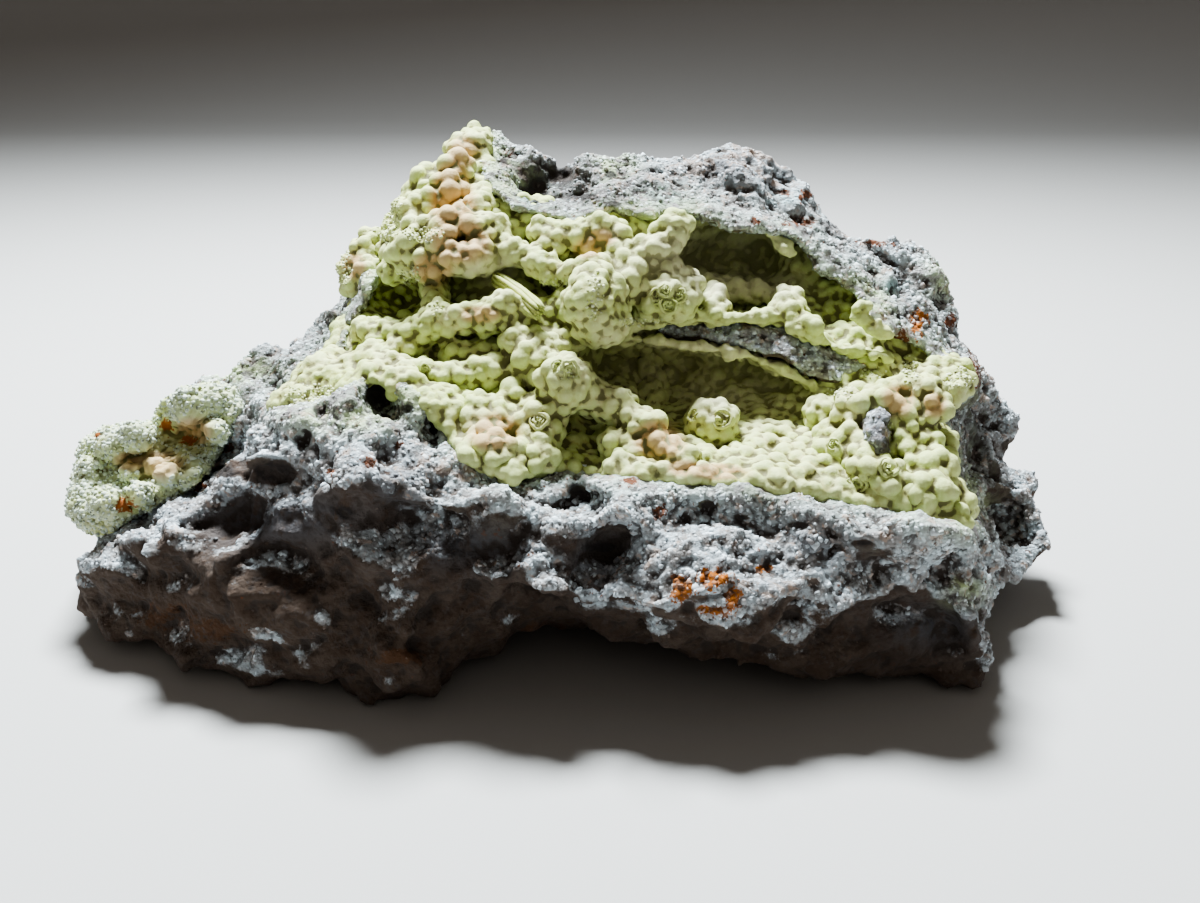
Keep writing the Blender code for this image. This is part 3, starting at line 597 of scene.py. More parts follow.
crustForm = {
    "outline": [
        (-48.2, 6.6), (-46, 11), (-42.8, 13.2), (-41, 14.6), (-39, 16.8), (-38.6, 19.4), (-36.2, 22.6),
        (-35.2, 24.6), (-34.2, 27), (-33.2, 29.2), (-33, 31), (-30.8, 35.5), (-29.8, 38.5), (-27.2, 40.7),
        (-24.7, 41.8), (-22.8, 43.5), (-22.2, 45.5), (-19.2, 47.6), (-17.4, 47.6), (-17, 45), (-17, 43),
        (-16.4, 41.2), (-15, 39.6), (-13.4, 38.4), (-12.4, 37.2), (-7.5, 36.2), (-4, 35.2), (1.5, 37.2),
        (7.5, 35.7), (10, 37.2), (15.2, 36.2), (20.2, 34.2), (24, 34.2), (28.4, 33.7), (31, 32),
        (33.2, 29.6), (33.6, 27.8), (35.6, 27), (39.4, 24.4), (41.2, 21.6), (42.8, 18.6), (46.4, 17.6),
        (49.8, 16), (51, 13.8), (53, 12.6), (55.6, 11.8), (55.2, 9), (53, 7.6), (51.2, 5.8), (51.2, 4.4),
        (53.2, 1.6), (54.2, -4.5), (56, -10.5), (50, -10.7), (43.5, -8.2), (39, -7.7), (31, -5.7),
        (28, -6.2), (19.5, -5.2), (9, -4.2), (0, -3.7), (-7, -2.7), (-13, -4.2), (-17.6, -2.5),
        (-20.6, -0.6), (-23.4, 5.2), (-26, 6.5), (-29.2, 8.8), (-32, 10.4), (-34.8, 10.8), (-36.6, 8.8),
        (-40.5, 7.2), (-43.7, 5.8),
    ],
    "front": [
        (-22.5, 40.5, -3), (-19.5, 45, 0), (-27, 37.5, -4), (-25.5, 33, -9), (-18, 31.5, -12),
        (-30, 29.5, -7), (-31.5, 34, -2), (-35, 20.5, -6), (-38, 15, -10), (-45, 8.5, -20),
        (-40.5, 11, -19), (-35, 13, -22), (-30, 12, -22), (-24, 7.5, -26), (-19.5, 1, -29), (-14, -2, -30),
        (-30, 22.5, 2), (-26, 24, -5), (-20, 25, -5), (-15, 28.5, -8), (-8, 25, -4), (-12, 34, -9.5),
        (-6, 31.5, -10.5), (0, 28.5, -11), (6, 31.5, -10), (6, 22.5, -11), (-22.5, 16, -13),
        (-18, 16, -13.5), (-10.5, 18, -15), (-27, 13, -16), (-21, 12, -16), (-15, 10, -18), (-18, 6, -20),
        (-10.5, 6, -20), (-13, 1, -25), (-7.5, -1.5, -26), (-1.5, 3, -13), (0, -0.5, -20), (1.5, 7, -8),
        (0, 13, 1), (6, 9, 0.5), (6, 15, 1.5), (13.5, 13.5, 0.5), (9, 6.5, -3), (7.5, 1, -20),
        (3, -1.5, -28), (15, 6.5, -6), (13.5, 1, -19), (15, -2.5, -29), (22.5, 13, -1.5), (28.5, 11, -5),
        (24, 7.5, -7), (25.5, 3, -16), (24, -2, -27), (27, -4, -30), (33, 7, -13), (34.5, 2.5, -18),
        (34.5, -2, -25), (34.5, -5, -29), (40.5, 1.5, -21), (40.5, -5, -28), (40.5, 7.5, -17),
        (45, 9.6, -16), (46.5, 13.6, -6.5), (48.5, 12, -8.5), (52, 10, -13), (48, 6, -17), (47, 1.5, -20),
        (45, -3, -25), (45, -6, -29), (49.5, 3, -18), (52, -3, -23), (52.5, -8, -29), (12, 33, 0),
        (15, 28.5, 9), (24, 28.5, 9), (21, 31.5, 6), (10.5, 27, 2), (15, 22.5, 1), (21, 22.5, 0),
        (25.5, 21, -6), (29, 28.5, 0), (30, 24, -2), (34.5, 24, -2), (33, 19.5, -6), (37.5, 18, -8),
        (39, 16, -12), (15, 19, -10), (6, 19, -12), (30, 15, -12), (37.5, 12, -14),
    ],
    "sunk": 1.05,  # mm that the skin lies below the tops of its beads
    "thickness": 5.6,
    "hiddenLining": (2.2, 0.15),  # mm behind the front, and how far turned away, -1 to 1
    "hiddenGrowths": (2.0, -2.0),  # whichever way they face
    "swell": [(0.7, 4.5, 2.0), (0.45, 2.2, 6.0)],  # height and size in mm, and seed
    "crinkle": [(0.45, 2.4, 1.0), (0.25, 1.1, 5.0)],
    "unevenness": [(0.05, 0.9, 2.0), (0.05, 2.6, 6.0)],
    "beadLayer": 0.35,  # mm of a knob's radius that its beads make up
    "plateDepths": (-14.0, 2.0),
    "upperPlate": [
        (-4, 18.2), (0, 18.2), (4, 19.6), (7, 21), (13.5, 20.8), (17, 21.2), (21, 20.8), (25.5, 21.2),
        (29, 19.6), (33, 17.4), (37.5, 15.4), (43, 14.8), (44, 13.8), (40, 14.2), (36, 15), (31, 17.4),
        (27, 19.2), (22, 19.6), (17, 19.4), (10, 19.0), (4, 17.8), (-1.5, 17),
    ],
    "lowerPlate": [
        (-1.5, 17.0), (4, 17.2), (10, 17.0), (17, 16.1), (22, 15.0), (27, 13.1), (30, 11.5), (33, 9.5),
        (36, 9.2), (38, 11), (42, 12.2), (42.5, 11.3), (39.5, 10.4), (37, 8.7), (35.5, 7.4), (33, 8.4),
        (30, 10.3), (27, 11.9), (23, 13.8), (17, 15.1), (10, 16.0), (4, 16.3),
    ],
    "flaps": [  # outline, deep, thickness
        ([(24.6, 33.1), (25.8, 32.3), (26.2, 30.6), (27.4, 29.3), (28.4, 28.3), (29.8, 29.9), (28.5, 31.3),
          (27, 32.4), (25.5, 33.6)], -7.0, 1.1),
        ([(37.3, 21.6), (38.7, 22.9), (40.2, 22.3), (40.4, 20.2), (42, 19.2), (44.7, 17.5), (43.2, 16.8),
          (40.6, 17.6), (38.6, 18.5), (37.3, 19.9)], -13.2, 1.2),
    ],
    "bars": [  # radius, then the line's points
        (1.5, [(-35.5, 18, -10), (-33.5, 17.5, -12), (-30.5, 17, -13), (-27, 18, -14),
               (-24, 20, -16), (-20.5, 20, -16), (-17, 20, -16), (-14.5, 21.5, -17)]),
        (1.1, [(-27, 17, -14), (-30, 15.5, -15), (-32, 15, -16)]),
        (1.1, [(-25, 25.5, -8), (-24.5, 23.5, -12), (-24.5, 21, -15)]),
        (1.2, [(-14, 31, -11), (-10.5, 29, -13), (-7, 27, -15), (-3.5, 26.5, -17)]),
        (1.4, [(-2.5, 31.5, -13), (-0.5, 32, -13), (1, 33, -12), (2, 33.5, -12)]),
        (1.4, [(2, 33.5, -12), (3, 31.5, -13), (4, 29.5, -14), (5, 27, -15), (5, 24.5, -15)]),
        (1.8, [(11.5, 34, -13), (9.5, 31.5, -14), (7.5, 29.5, -15), (6.5, 28.5, -15)]),
        (2.0, [(8, 22.5, -14), (10.5, 22.5, -15), (13, 25, -12)]),
        (1.2, [(17, 24, -7), (17.5, 22.5, -10), (17.5, 20.5, -12)]),
        (1.3, [(28, 24, -8), (28, 22, -10), (29.5, 19.5, -13), (31.5, 18, -14)]),
        (1.2, [(15, 25, -3), (20, 24, -4), (25, 24, -5)]),
        (2.9, [(-1, 25.5, -18), (-1, 22.5, -20), (-0.5, 19.5, -19)]),
        (1.7, [(1, 24, -18), (2, 21.5, -19), (2, 19, -18)]),
        (1.7, [(-1, 8, -20), (2, 7, -21), (4, 6, -22), (6.5, 4, -23), (8, 2.5, -24),
               (10, 0, -25), (12.5, -1.5, -26)]),
        (1.6, [(-23, 10.5, -19), (-19.5, 11.5, -18), (-16.5, 12, -18), (-14, 12, -17)]),
        (2.2, [(-8, 7, -21), (-9, 4.5, -22), (-9, 1, -23), (-10, -2, -25)]),
        (1.2, [(8, 16, 1), (8, 13, 1), (8, 10, 1), (8, 7, -4)]),
    ],
    "knobs": [  # across, up, deep, radius
        (-13, 19, -17, 1.7), (-12.5, 16.5, -18, 1.9), (-10, 14.5, -19, 2.3), (-8, 15.5, -18, 2.3),
        (-6, 16, -17, 1.9), (-8, 13.5, -20, 2.1), (-8, 21, -15, 1.8), (-6, 22, -15, 1.9),
        (-4.5, 21, -16, 1.9), (-6.5, 18, -15, 1.7), (-5, 10.5, -22, 3.8), (-2, 9, -21, 2.4),
        (-6, 7.5, -22, 2.1), (2.5, 1, -23, 2.3), (5, 0, -25, 1.8), (17, 4, -17, 3.5), (-26, 12, -18, 1.9),
        (-24.5, 11, -19, 1.9), (-21.5, 14.5, -15, 2.2), (-18.5, 6.5, -22, 2.3), (-16, 6, -22, 2.5),
        (-19.5, 4, -23, 2.1), (-17, 3, -24, 2.4), (-15.5, -0.5, -27, 2.8), (-13, -0.5, -25, 2.2),
        (-12, 4, -22, 2.2), (-13, 8, -20, 2), (-28.5, 30, -11, 3.2), (-25.5, 28.5, -12, 3),
        (-26.5, 32.5, -10.5, 2.6), (-23, 33.8, -11.5, 2.3), (-20.6, 34.6, -11.5, 2.2),
        (-18.3, 33.4, -12, 2.2), (-17.6, 31, -12.5, 2.1), (-19, 28.8, -13.5, 2.4), (-21.8, 28.8, -14, 2.3),
        (-23.4, 31.2, -13, 2.2), (-16.6, 28.6, -11.5, 1.9), (-15.6, 33.6, -10.5, 2.0),
        (-10.5, 17.5, -17, 2.1), (-9.5, 19.5, -16, 1.9), (-11, 21, -16.5, 1.9), (-7.5, 11.8, -20, 2.2),
        (-4, 17.5, -16, 1.9), (3, 29, -14, 2.4), (4.5, 27, -15, 2.5), (3.5, 25, -16, 2.4),
        (5.5, 25.2, -15.5, 2.1), (2, 27.5, -14, 2.0), (1, 30, -13, 2.0), (-2.3, 33, -13, 2.1),
        (0.2, 33.3, -13.5, 2.2), (-1.2, 31.2, -13.5, 2.0), (-7, 31, -11.8, 2.2), (-5, 32.6, -11.5, 2.1),
        (-8.5, 33, -10.8, 2.0), (8, 26, -13.8, 2.2), (10.5, 26.2, -14, 2.4), (12.8, 24.2, -14, 2.3),
        (9.8, 23.5, -15.8, 2.5), (12.5, 22, -15, 2.1), (7.8, 22.2, -15.5, 2.0), (-13.5, 12.5, -17, 1.9),
        (-16.5, 14.5, -15.5, 1.8), (-19.5, 14.5, -15.2, 1.9), (-11.5, 11.5, -18.5, 2.0), (-31, 27, -9, 2),
        (-28, 35.5, -7, 2.5), (-25.5, 37, -6, 2.5), (-22.5, 39, -5, 2.6), (-21.5, 42, -3, 2.5),
        (-18, 36, -8, 2.4), (46, 8.4, -18, 3.0), (44.8, 5.8, -19, 2.6), (49.5, 9, -19, 2.3),
        (50, 6.5, -20, 2.3), (38, 6, -20, 2.9), (42, 7.5, -20, 2.6), (45.6, 3.6, -21, 2.4),
        (37.6, 2.2, -22, 2.3), (38.8, -0.9, -24, 2.3), (45.8, 0.8, -22, 2.4), (40, -3, -26, 2.9),
        (43, -4.5, -27, 2.9), (35, 1.5, -20, 2.6), (35, -1, -22, 2.3), (33.5, 5.5, -16, 2.7),
        (48, -3, -24, 2.6), (50.5, -2, -24, 2.4), (47, -6, -27, 2.5), (50.5, -6, -27, 2.5),
        (49, 1.5, -21, 2.1), (-37.2, 27.2, -1, 2.2), (-35.6, 29.8, -1, 2.2), (-36.6, 24.8, -2, 2.0),
        (-34.2, 31.8, 0, 1.8), (-34.6, 26.8, -3, 2.4),
    ],
    "skinVoxel": 0.5,
    "growthSkinVoxel": 0.4,
    "liningVoxel": 0.3,
    "growthVoxel": 0.27,
    "fewest": 400,  # vertices of a loose body that is kept
    "triangles": 192000,
}
crustBeads = {  # least and greatest radius and spacing, mm; sink is the sunk share of a radius
    "coarse": {"smallest": 1.0, "largest": 1.8, "spacing": 1.9, "sink": 0.06, "seed": 11},
    "middle": {"smallest": 0.75, "largest": 1.4, "spacing": 1.35, "sink": 0.04, "seed": 23},
    "fine": {"smallest": 0.62, "largest": 1.0, "spacing": 0.98, "sink": 0.08, "seed": 37},
    "filler": {"smallest": 0.5, "largest": 0.85, "spacing": 0.84, "sink": 0.3, "seed": 41, "sides": 10,
               "rings": 6},
}
beadStyle = {"density": 8e6, "squash": 0.1, "uneven": 0.25, "sides": 16, "rings": 9}
crumbStyle = {"density": 12e6, "squash": 0.4, "sink": 0.2, "uneven": 1.6, "sides": 6, "rings": 3}
beadSizes = {  # where the beads are coarse or fine: across, up, width, height
    "coarse": [
        (-26, 34, 8, 10), (-22, 42, 5, 6), (-14, 4, 9, 6), (-12, 12, 6, 4), (6, 3, 6, 5), (42, 3, 9, 8),
        (48, -4, 6, 5), (4, 29, 6, 6), (30, 0, 10, 4),
    ],
    "fine": [(14, 14, 10, 3.5), (20, 31, 12, 2.5), (0, 13, 5, 3), (-40, 10, 6, 3)],
    "smooth": [(20, 30, 11, 4.2), (26, 25.5, 6, 2.5)],
}
crustTints = {  # across, up, width, height
    "tan": [
        (-37, 28, 2.6, 2.6), (-16, 3, 5, 3.5), (45, 8, 3, 3), (50, 7, 2.4, 2.4), (-22, 38, 4, 7),
        (-21, 31.5, 6, 4.5), (-25, 27.5, 4, 3), (-18, 20.5, 4, 1.6), (8.5, 1.5, 5, 3.5),
        (12.5, -2.5, 3, 1.6), (-2, 30.5, 3, 2), (0, 32, 3, 1.6), (-20.5, 45, 3, 3), (17, -3, 6, 1.4),
    ],
    # caves, where the finish paints a paler, greyer colour to lift their shade
    "olive": [(12, 13.5, 14, 5), (20, 10, 12, 4), (18, 29, 11, 5), (22, 25, 9, 3), (-16, 27, 5, 3)],
    "green": [
        (30, 22, 9, 4), (-31, 22, 4, 3.5), (-20, 25, 5, 2.6), (36, 20, 5, 5), (-40, 10, 6, 3),
        (-24, 9, 7, 4), (-26, 40, 3, 3),
    ],
    "broken": [
        (-26.5, 32.6, 3.6, 1.5), (-24.5, 21.3, 1.3, 1.7), (-0.8, 23, 1.5, 4.2), (-9, 4.3, 1.4, 1.2),
        (-5, 11.5, 2.2, 1.0), (-32, 36, 2.5, 5), (-28.5, 26.5, 2.2, 1.6), (-7, 25.5, 2.5, 1.0),
        (40.6, 11.8, 2.5, 0.9), (36, 9, 2.4, 1.0), (6, 19.5, 5, 0.8), (46.5, 12, 1.5, 3.0),
        (-43, 8.5, 5, 1.6), (42.5, 3, 1.4, 4.0), (54, 11, 2.4, 1.8), (-38.5, 27.5, 1.5, 3.5),
    ],
}


coarseKind, middleKind, fineKind, smoothKind = range(4)  # smooth skin has almost no beads


def beadKinds(points, places):
    # the kind of beads at each point, with a wandering border
    wander = 0.18 * noiseAt(points, 9, 4.0)
    smooth = spots(places, beadSizes["smooth"]) + wander > 0.5
    fine = spots(places, beadSizes["fine"]) + wander > 0.5
    coarse = spots(places, beadSizes["coarse"]) + wander > 0.5
    rough = np.where(fine, fineKind, np.where(coarse, coarseKind, middleKind))
    return np.where(smooth, smoothKind, rough)


def withBeads(name, skin, shown, kinds, tree, material, voxel):
    # the skin grown over with beads, as one closed skin
    mesh = skin.data
    paint(mesh, "size", np.ones(len(mesh.vertices)))
    bare = np.where(kinds == smoothKind, 0.35, 1.0)
    layers = []
    for number, kind in enumerate(("coarse", "middle", "fine", "filler")):
        paint(mesh, "cover", np.where((kinds == number) | (kind == "filler"), shown * bare, 0.0))
        layers.append(scattered("beads" + kind, skin, tree, material, {**beadStyle, **crustBeads[kind]}))
    print(name, "beads", [len(layer.data.vertices) for layer in layers])
    return fuse(gather(name, [skin] + layers), voxel)


def skinUnder(name, form):
    # the skin that a crust's beads grow on, and the depth of the crust's front
    front = depthField(form["front"])
    sunk = lambda places: front(places) + form["sunk"]
    back = lambda places: front(places) + form["sunk"] + form["thickness"]
    return reliefBody(name, form["outline"], sunk, back, roundness=1.0, step=1.6), front


def hiddenTest(front, depth, away):
    # a test for the vertices this far behind a front, mm, that face away from the eye
    def isHidden(obj):
        places = toLayout(pointsOf(obj.data))
        return (turnedAway(obj.data) > away) & (places[:, 2] > front(places[:, :2]) + depth)

    return isHidden


def shrunk(form):
    # a crust's knobs without the layer of beads that will cover them
    return [(x, y, deep, radius - form["beadLayer"]) for x, y, deep, radius in form["knobs"]]


def tinted(obj):
    # fine unevenness and the attributes that the crust's colours follow
    mesh = obj.data
    ruffled(mesh, crustForm["unevenness"])
    paintHollows(mesh, 0.03)
    places = toLayout(pointsOf(mesh))
    for name, rows in crustTints.items():
        paint(mesh, name, spots(places, rows))
    return obj


def hollowLining(tree, material):
    # the crust on the walls of the hollow, beads and all
    skin, front = skinUnder("skin", crustForm)
    skin = fuse(skin, crustForm["skinVoxel"])
    isHidden = hiddenTest(front, *crustForm["hiddenLining"])
    points = pointsOf(skin.data)
    kinds = beadKinds(points, toLayout(points))
    swell = sum(height * noiseAt(points, size, seed) for height, size, seed in crustForm["swell"])
    swell = np.where(kinds == smoothKind, swell * 0.8 + 0.3, swell * 1.2)
    movePoints(skin.data, points + normalsOf(skin.data) * swell[:, None] * mm)
    lining = withBeads("hollowLining", skin, np.where(isHidden(skin), 0.0, 1.0), kinds, tree, material,
                       crustForm["liningVoxel"])
    dropCrumbs(lining, crustForm["fewest"])
    print("lining triangles", 2 * len(lining.data.polygons))
    thin(lining, crustForm["triangles"], isHidden(lining))
    return finished(tinted(lining), material, ["wavellite_crust"])


def hollowGrowths(tree, material):
    # the ledge, bars, pillars and knobs that stand on the lining
    front = depthField(crustForm["front"])
    near, far = (level(depth) for depth in crustForm["plateDepths"])
    bodies = [reliefBody("plate", crustForm[plate], near, far, roundness=0.5, step=1.2)
              for plate in ("upperPlate", "lowerPlate")]
    balls = [ball for radius, line in crustForm["bars"] for ball in barBalls(radius, line)]
    balls += shrunk(crustForm)
    bodies.append(ballsObject("balls", balls))
    for outline, deep, thickness in crustForm["flaps"]:
        near, far = level(deep), level(deep + thickness)
        bodies.append(reliefBody("flap", outline, near, far, roundness=0.3, step=0.7))
    skin = fuse(gather("growths", bodies), crustForm["growthSkinVoxel"])
    isHidden = hiddenTest(front, *crustForm["hiddenGrowths"])
    points = pointsOf(skin.data)
    places = toLayout(points)
    kinds = beadKinds(points, places)
    onPlate = np.zeros(len(points), bool)
    for plate in ("upperPlate", "lowerPlate"):
        gap = outlineGap(places[:, :2], crustForm[plate])
        onPlate |= inside(places, crustForm[plate]) | (gap < 0.7)
    for outline, deep, thickness in crustForm["flaps"]:
        onPlate |= (outlineGap(places[:, :2], outline) < 1.5) & (places[:, 2] < deep + thickness + 1)
    onBall = np.zeros(len(points), bool)
    for ball in balls:
        onBall |= ((places[:, :3] - ball[:3]) ** 2).sum(1) < (ball[3] + 0.3) ** 2
    kinds[onPlate & ~onBall] = smoothKind
    ruffled(skin.data, crustForm["crinkle"], kinds == smoothKind)
    growths = withBeads("hollowGrowths", skin, np.where(isHidden(skin), 0.0, 1.0), kinds, tree, material,
                        crustForm["growthVoxel"])
    print("growth triangles", 2 * len(growths.data.polygons))
    thin(growths, crustForm["triangles"], isHidden(growths))
    return finished(tinted(growths), material, ["wavellite_crust"])


crustDetails = {
    "rings": [  # across, up, radius: broken beads that show their layers
        (8.4, 23.2, 1.0), (10.2, 22.0, 1.1), (11.8, 23.4, 1.0), (9.8, 24.3, 0.9), (-9.2, 4.6, 1.2),
        (-21.3, 16.9, 1.2), (43.4, -2.4, 1.2), (38.4, -4.8, 1.2), (-4.4, 12.2, 1.2), (-6.4, 12.8, 0.9),
        (14.2, 5.4, 0.9), (35, 1.0, 0.8), (-26.2, 12.3, 0.7), (18.2, 4.8, 1.3), (32.6, -2.2, 0.8),
    ],
    "layers": [(0.95, 0.24, 5.2), (0.52, 0.21, 4.3), (0.12, 0.26, 3.0)],  # radius, thickness, sweep
    "ringSteps": (20, 8),  # along a ring and around its tube
    "fibres": {"from": (-15.6, 25.8, -12.5), "to": (-9.2, 20.8, -20.0), "spread": 1.05, "radius": 0.3,
               "count": 17},
    "crumbs": {"smallest": 0.22, "largest": 0.42, "spacing": 0.46, "seed": 61, "grey": 0.0},
}


def onSurface(tree, across, up):
    # the first place on a surface that the eye sees at this point of the layout, and its normal
    start = Vector(eye * mm)
    way = Vector(toWorld(np.array([(across, up, 0.0)]))[0]) - start
    return tree.ray_cast(start, way.normalized())[:2]


def crustRings(growths, material):
    # small rings around a core, with one side a little sunk
    surface = BVHTree.FromPolygons([v.co for v in growths.data.vertices],
                                   [p.vertices for p in growths.data.polygons])
    around, across = crustDetails["ringSteps"]
    points, faces, crease = [], [], []
    for number, (x, y, radius) in enumerate(crustDetails["rings"]):
        place, normal = onSurface(surface, x, y)
        if place is None:
            continue
        axis = (normal + (Vector(eye * mm) - place).normalized() * 0.8).normalized()
        turn = axis.to_track_quat("Z", "Y")
        for share, tube, sweep in crustDetails["layers"]:
            first = len(points)
            begin = 6.28 * noise.noise(Vector((number * 1.9, share * 5, 2.2))) + share * 4
            for i in range(around + 1):
                angle = begin + sweep * i / around
                end = min(1, 0.25 + 3.5 * min(i, around - i) / around)
                drift = driftAt(Vector((math.cos(angle), math.sin(angle), number * 3.1 + share)) * 1.4)
                for j in range(across):
                    bend = 2 * math.pi * j / across
                    thick = tube * end * (1 + 0.5 * noise.noise(Vector((angle * 1.7, number, bend * 0.3))))
                    out = radius * (share + 0.3 * drift.x + thick * math.cos(bend))
                    rise = radius * (thick * 1.4 * math.sin(bend) + 0.1 + 0.25 * drift.y)
                    spot = Vector((math.cos(angle) * out, math.sin(angle) * out, rise)) * mm
                    points.append(place + turn @ spot)
                    # painted shade under each ring's tube and painted highlight on its top, through the
                    # crease value
                    crease.append(0.6 if math.sin(bend) < 0.1 else -0.6)
            for i in range(around):
                for j in range(across):
                    m = (j + 1) % across
                    faces.append((first + i * across + j, first + (i + 1) * across + j,
                                  first + (i + 1) * across + m, first + i * across + m))
            faces.append(tuple(first + j for j in range(across)))
            faces.append(tuple(first + around * across + j for j in reversed(range(across))))
    rings = closedBodies("crustRings", points, faces)
    paint(rings.data, "crease", np.array(crease))
    return finished(rings, material)


def crustFibres(material):
    # a bundle of thin rods, each ending where it broke
    form = crustDetails["fibres"]
    start, end = (Vector(toWorld(np.array([form[key]], float))[0]) for key in ("from", "to"))
    turn = (end - start).to_track_quat("Z", "Y")
    length = (end - start).length
    around, steps = 7, 9
    points, faces = [], []
    for number in range(form["count"]):
        angle, out = 2.4 * number, form["spread"] * math.sqrt(number / form["count"])
        low, high = (0.5 * noise.noise(Vector((number * 1.7, k, 0.3))) for k in (0, 5))
        first = len(points)
        for i in range(steps):
            share = i / (steps - 1)
            along = low * mm + (length - (low - high) * mm) * share
            bow = 0.5 * math.sin(share * math.pi) + 0.2 * noise.noise(Vector((number * 2.3, share * 4, 1)))
            radius = form["radius"] * (1 if 0 < i < steps - 1 else 0.6) * (
                1 + 0.35 * noise.noise(Vector((number * 4.1, share * 9, 7))))
            centre = Vector((math.cos(angle) * out + bow, math.sin(angle) * out, along / mm))
            for j in range(around):
                bend = 2 * math.pi * j / around
                rim = Vector((math.cos(bend) * radius, math.sin(bend) * radius, 0))
                points.append(start + turn @ ((centre + rim) * mm))
        for i in range(steps - 1):
            for j in range(around):
                k = (j + 1) % around
                faces.append((first + i * around + j, first + i * around + k,
                              first + (i + 1) * around + k, first + (i + 1) * around + j))
        for ring, way in ((first, -1), (first + (steps - 1) * around, 1)):
            middle = len(points)
            points.append(np.mean(points[ring:ring + around], axis=0))
            for j in range(around):
                k = (j + 1) % around
                faces.append((ring + j, ring + k, middle) if way > 0 else (ring + k, ring + j, middle))
    return finished(closedBodies("crustFibres", points, faces), material)


def crustCrumbs(name, ground, cover, tree, material, form):
    # loose crumbs on the broken and granular parts of a crust
    paint(ground.data, "cover", cover)
    paint(ground.data, "size", np.ones(len(cover)))
    obj = scattered(name, ground, tree, material, {**crumbStyle, **form})
    paint(obj.data, "grey", np.full(len(obj.data.vertices), form["grey"]))
    return finished(obj, material)


crumbPaint = {
    "dull": colour(0.40, 0.44, 0.17), "pale": colour(0.66, 0.70, 0.44),
    "light": colour(0.80, 0.84, 0.66), "dark": colour(0.19, 0.19, 0.11),
    "grey": colour(0.57, 0.65, 0.60), "pepper": colour(0.11, 0.115, 0.085),
}


def crustCrumbFinish():
    material, graph = newMaterial("crustCrumbFinish")
    where = graph.coordinates()
    patch = graph.noise(where, 1.6, 4.0, 0.65)
    tone = graph.attribute("tone")
    base = graph.blend(graph.between(patch, 0.38, 0.62), crumbPaint["dull"], crumbPaint["pale"])
    base = graph.blend(graph.between(tone, 0.6, 1.0) * 0.6, base, crumbPaint["light"])
    base = graph.blend((1 - graph.between(tone, 0.0, 0.3)) * 0.6, base, crumbPaint["dark"])
    grey = graph.attribute("grey")
    pale = graph.between(graph.noise(where, 2.4, 3.0, 0.6), 0.36, 0.54)
    base = graph.blend(grey * pale * 0.75, base, crumbPaint["grey"])
    pepper = graph.between(graph.noise(where, 1.0, 3.0, 0.7, 0.4), 0.54, 0.62)
    base = graph.blend(grey * pepper * 0.75, base, crumbPaint["pepper"])
    shade(graph, base, rough=0.8, height=patch, strength=0.2, distance=0.1)
    return material


crustPaint = {
    "yellow": colour(0.48, 0.50, 0.19), "fresh": colour(0.41, 0.46, 0.14),
    "cream": colour(0.58, 0.545, 0.30), "honey": colour(0.50, 0.44, 0.21),
    "green": colour(0.38, 0.43, 0.11), "olive": colour(0.57, 0.54, 0.36),
    "topHighlight": colour(0.62, 0.715, 0.34), "frost": colour(0.67, 0.78, 0.41),
    "shadedTan": colour(0.41, 0.235, 0.105), "tan": colour(0.61, 0.42, 0.225),
    "grey": colour(0.48, 0.53, 0.43), "creaseShade": colour(0.15, 0.14, 0.055),
    "darkRust": colour(0.12, 0.035, 0.01), "rust": colour(0.42, 0.13, 0.018),
}


def crustFinish():
    material, graph = newMaterial("wavelliteCrustFinish")
    where = graph.coordinates()
    crease = graph.between(graph.attribute("crease"), 0.1, 1.1)
    # painted highlight: bead tops, found by the crease value, are made paler
    top = 1 - graph.between(graph.attribute("crease"), -0.9, 0.0)
    dip = graph.between(graph.attribute("dip"), 0.2, 1.4)
    broad = graph.noise(where, 7.0, 3.0, 0.6)
    fine = graph.noise(where, 0.5, 4.0, 0.65)
    green = graph.clamped(graph.attribute("green") + (broad - 0.5) * 1.2)
    tan = graph.between(graph.attribute("tan") + (broad - 0.5) * 0.7, 0.3, 0.75)
    cream = graph.between(graph.noise(where, 4.0, 2.0, 0.5), 0.5, 0.62)
    base = graph.blend(graph.between(broad, 0.35, 0.65), crustPaint["yellow"], crustPaint["fresh"])
    base = graph.blend(cream * 0.55, base, crustPaint["cream"])
    honey = graph.between(graph.noise(where, 1.9, 1.0, 0.5), 0.45, 0.62)
    base = graph.blend(honey * 0.35, base, crustPaint["honey"])
    base = graph.blend(green * 0.85, base, crustPaint["green"])
    # painted light in the caves: a paler, greyer colour, with less painted highlight and crease shade there
    olive = graph.clamped(graph.attribute("olive") * 1.3)
    base = graph.blend(olive, base, crustPaint["olive"])
    # painted highlight on the bead tops, weaker in the caves
    base = graph.blend(top * (1 - olive * 0.7) * 0.42, base, crustPaint["topHighlight"])
    base = graph.blend(graph.between(fine, 0.42, 0.72) * 0.3, base, crustPaint["frost"])
    # tan stains with painted highlight and painted shade: lighter tan on bead tops, darker tan elsewhere
    base = graph.blend(tan * 0.85, base, graph.blend(top * 0.6, crustPaint["shadedTan"], crustPaint["tan"]))
    grey = graph.attribute("grey") * graph.between(broad, 0.3, 0.55)
    base = graph.blend(grey * 0.6, base, crustPaint["grey"])
    # painted shade: creases and dips between the beads darkened, less in the caves
    dark = graph.clamped(crease * 0.9 + dip * 0.25) * (1 - olive * 0.6)
    base = graph.blend(dark, base, crustPaint["creaseShade"])
    patch = graph.noise(where, 1.4, 4.0, 0.65)
    speck = graph.noise(where, 0.8, 3.0, 0.7)
    rust = graph.attribute("rust") * 1.15 + (patch - 0.5) * 1.8 + (speck - 0.5) * 2.2
    stain = graph.blend(fine, crustPaint["darkRust"], crustPaint["rust"])
    base = graph.blend(graph.between(rust, 0.6, 0.85), base, stain)
    height = graph.noise(where, 0.35, 4.0, 0.7) + graph.cells(where, 0.6) * -0.5
    shade(graph, base, rough=0.55 + fine * 0.3, height=height, strength=0.35, distance=0.25)
    return material


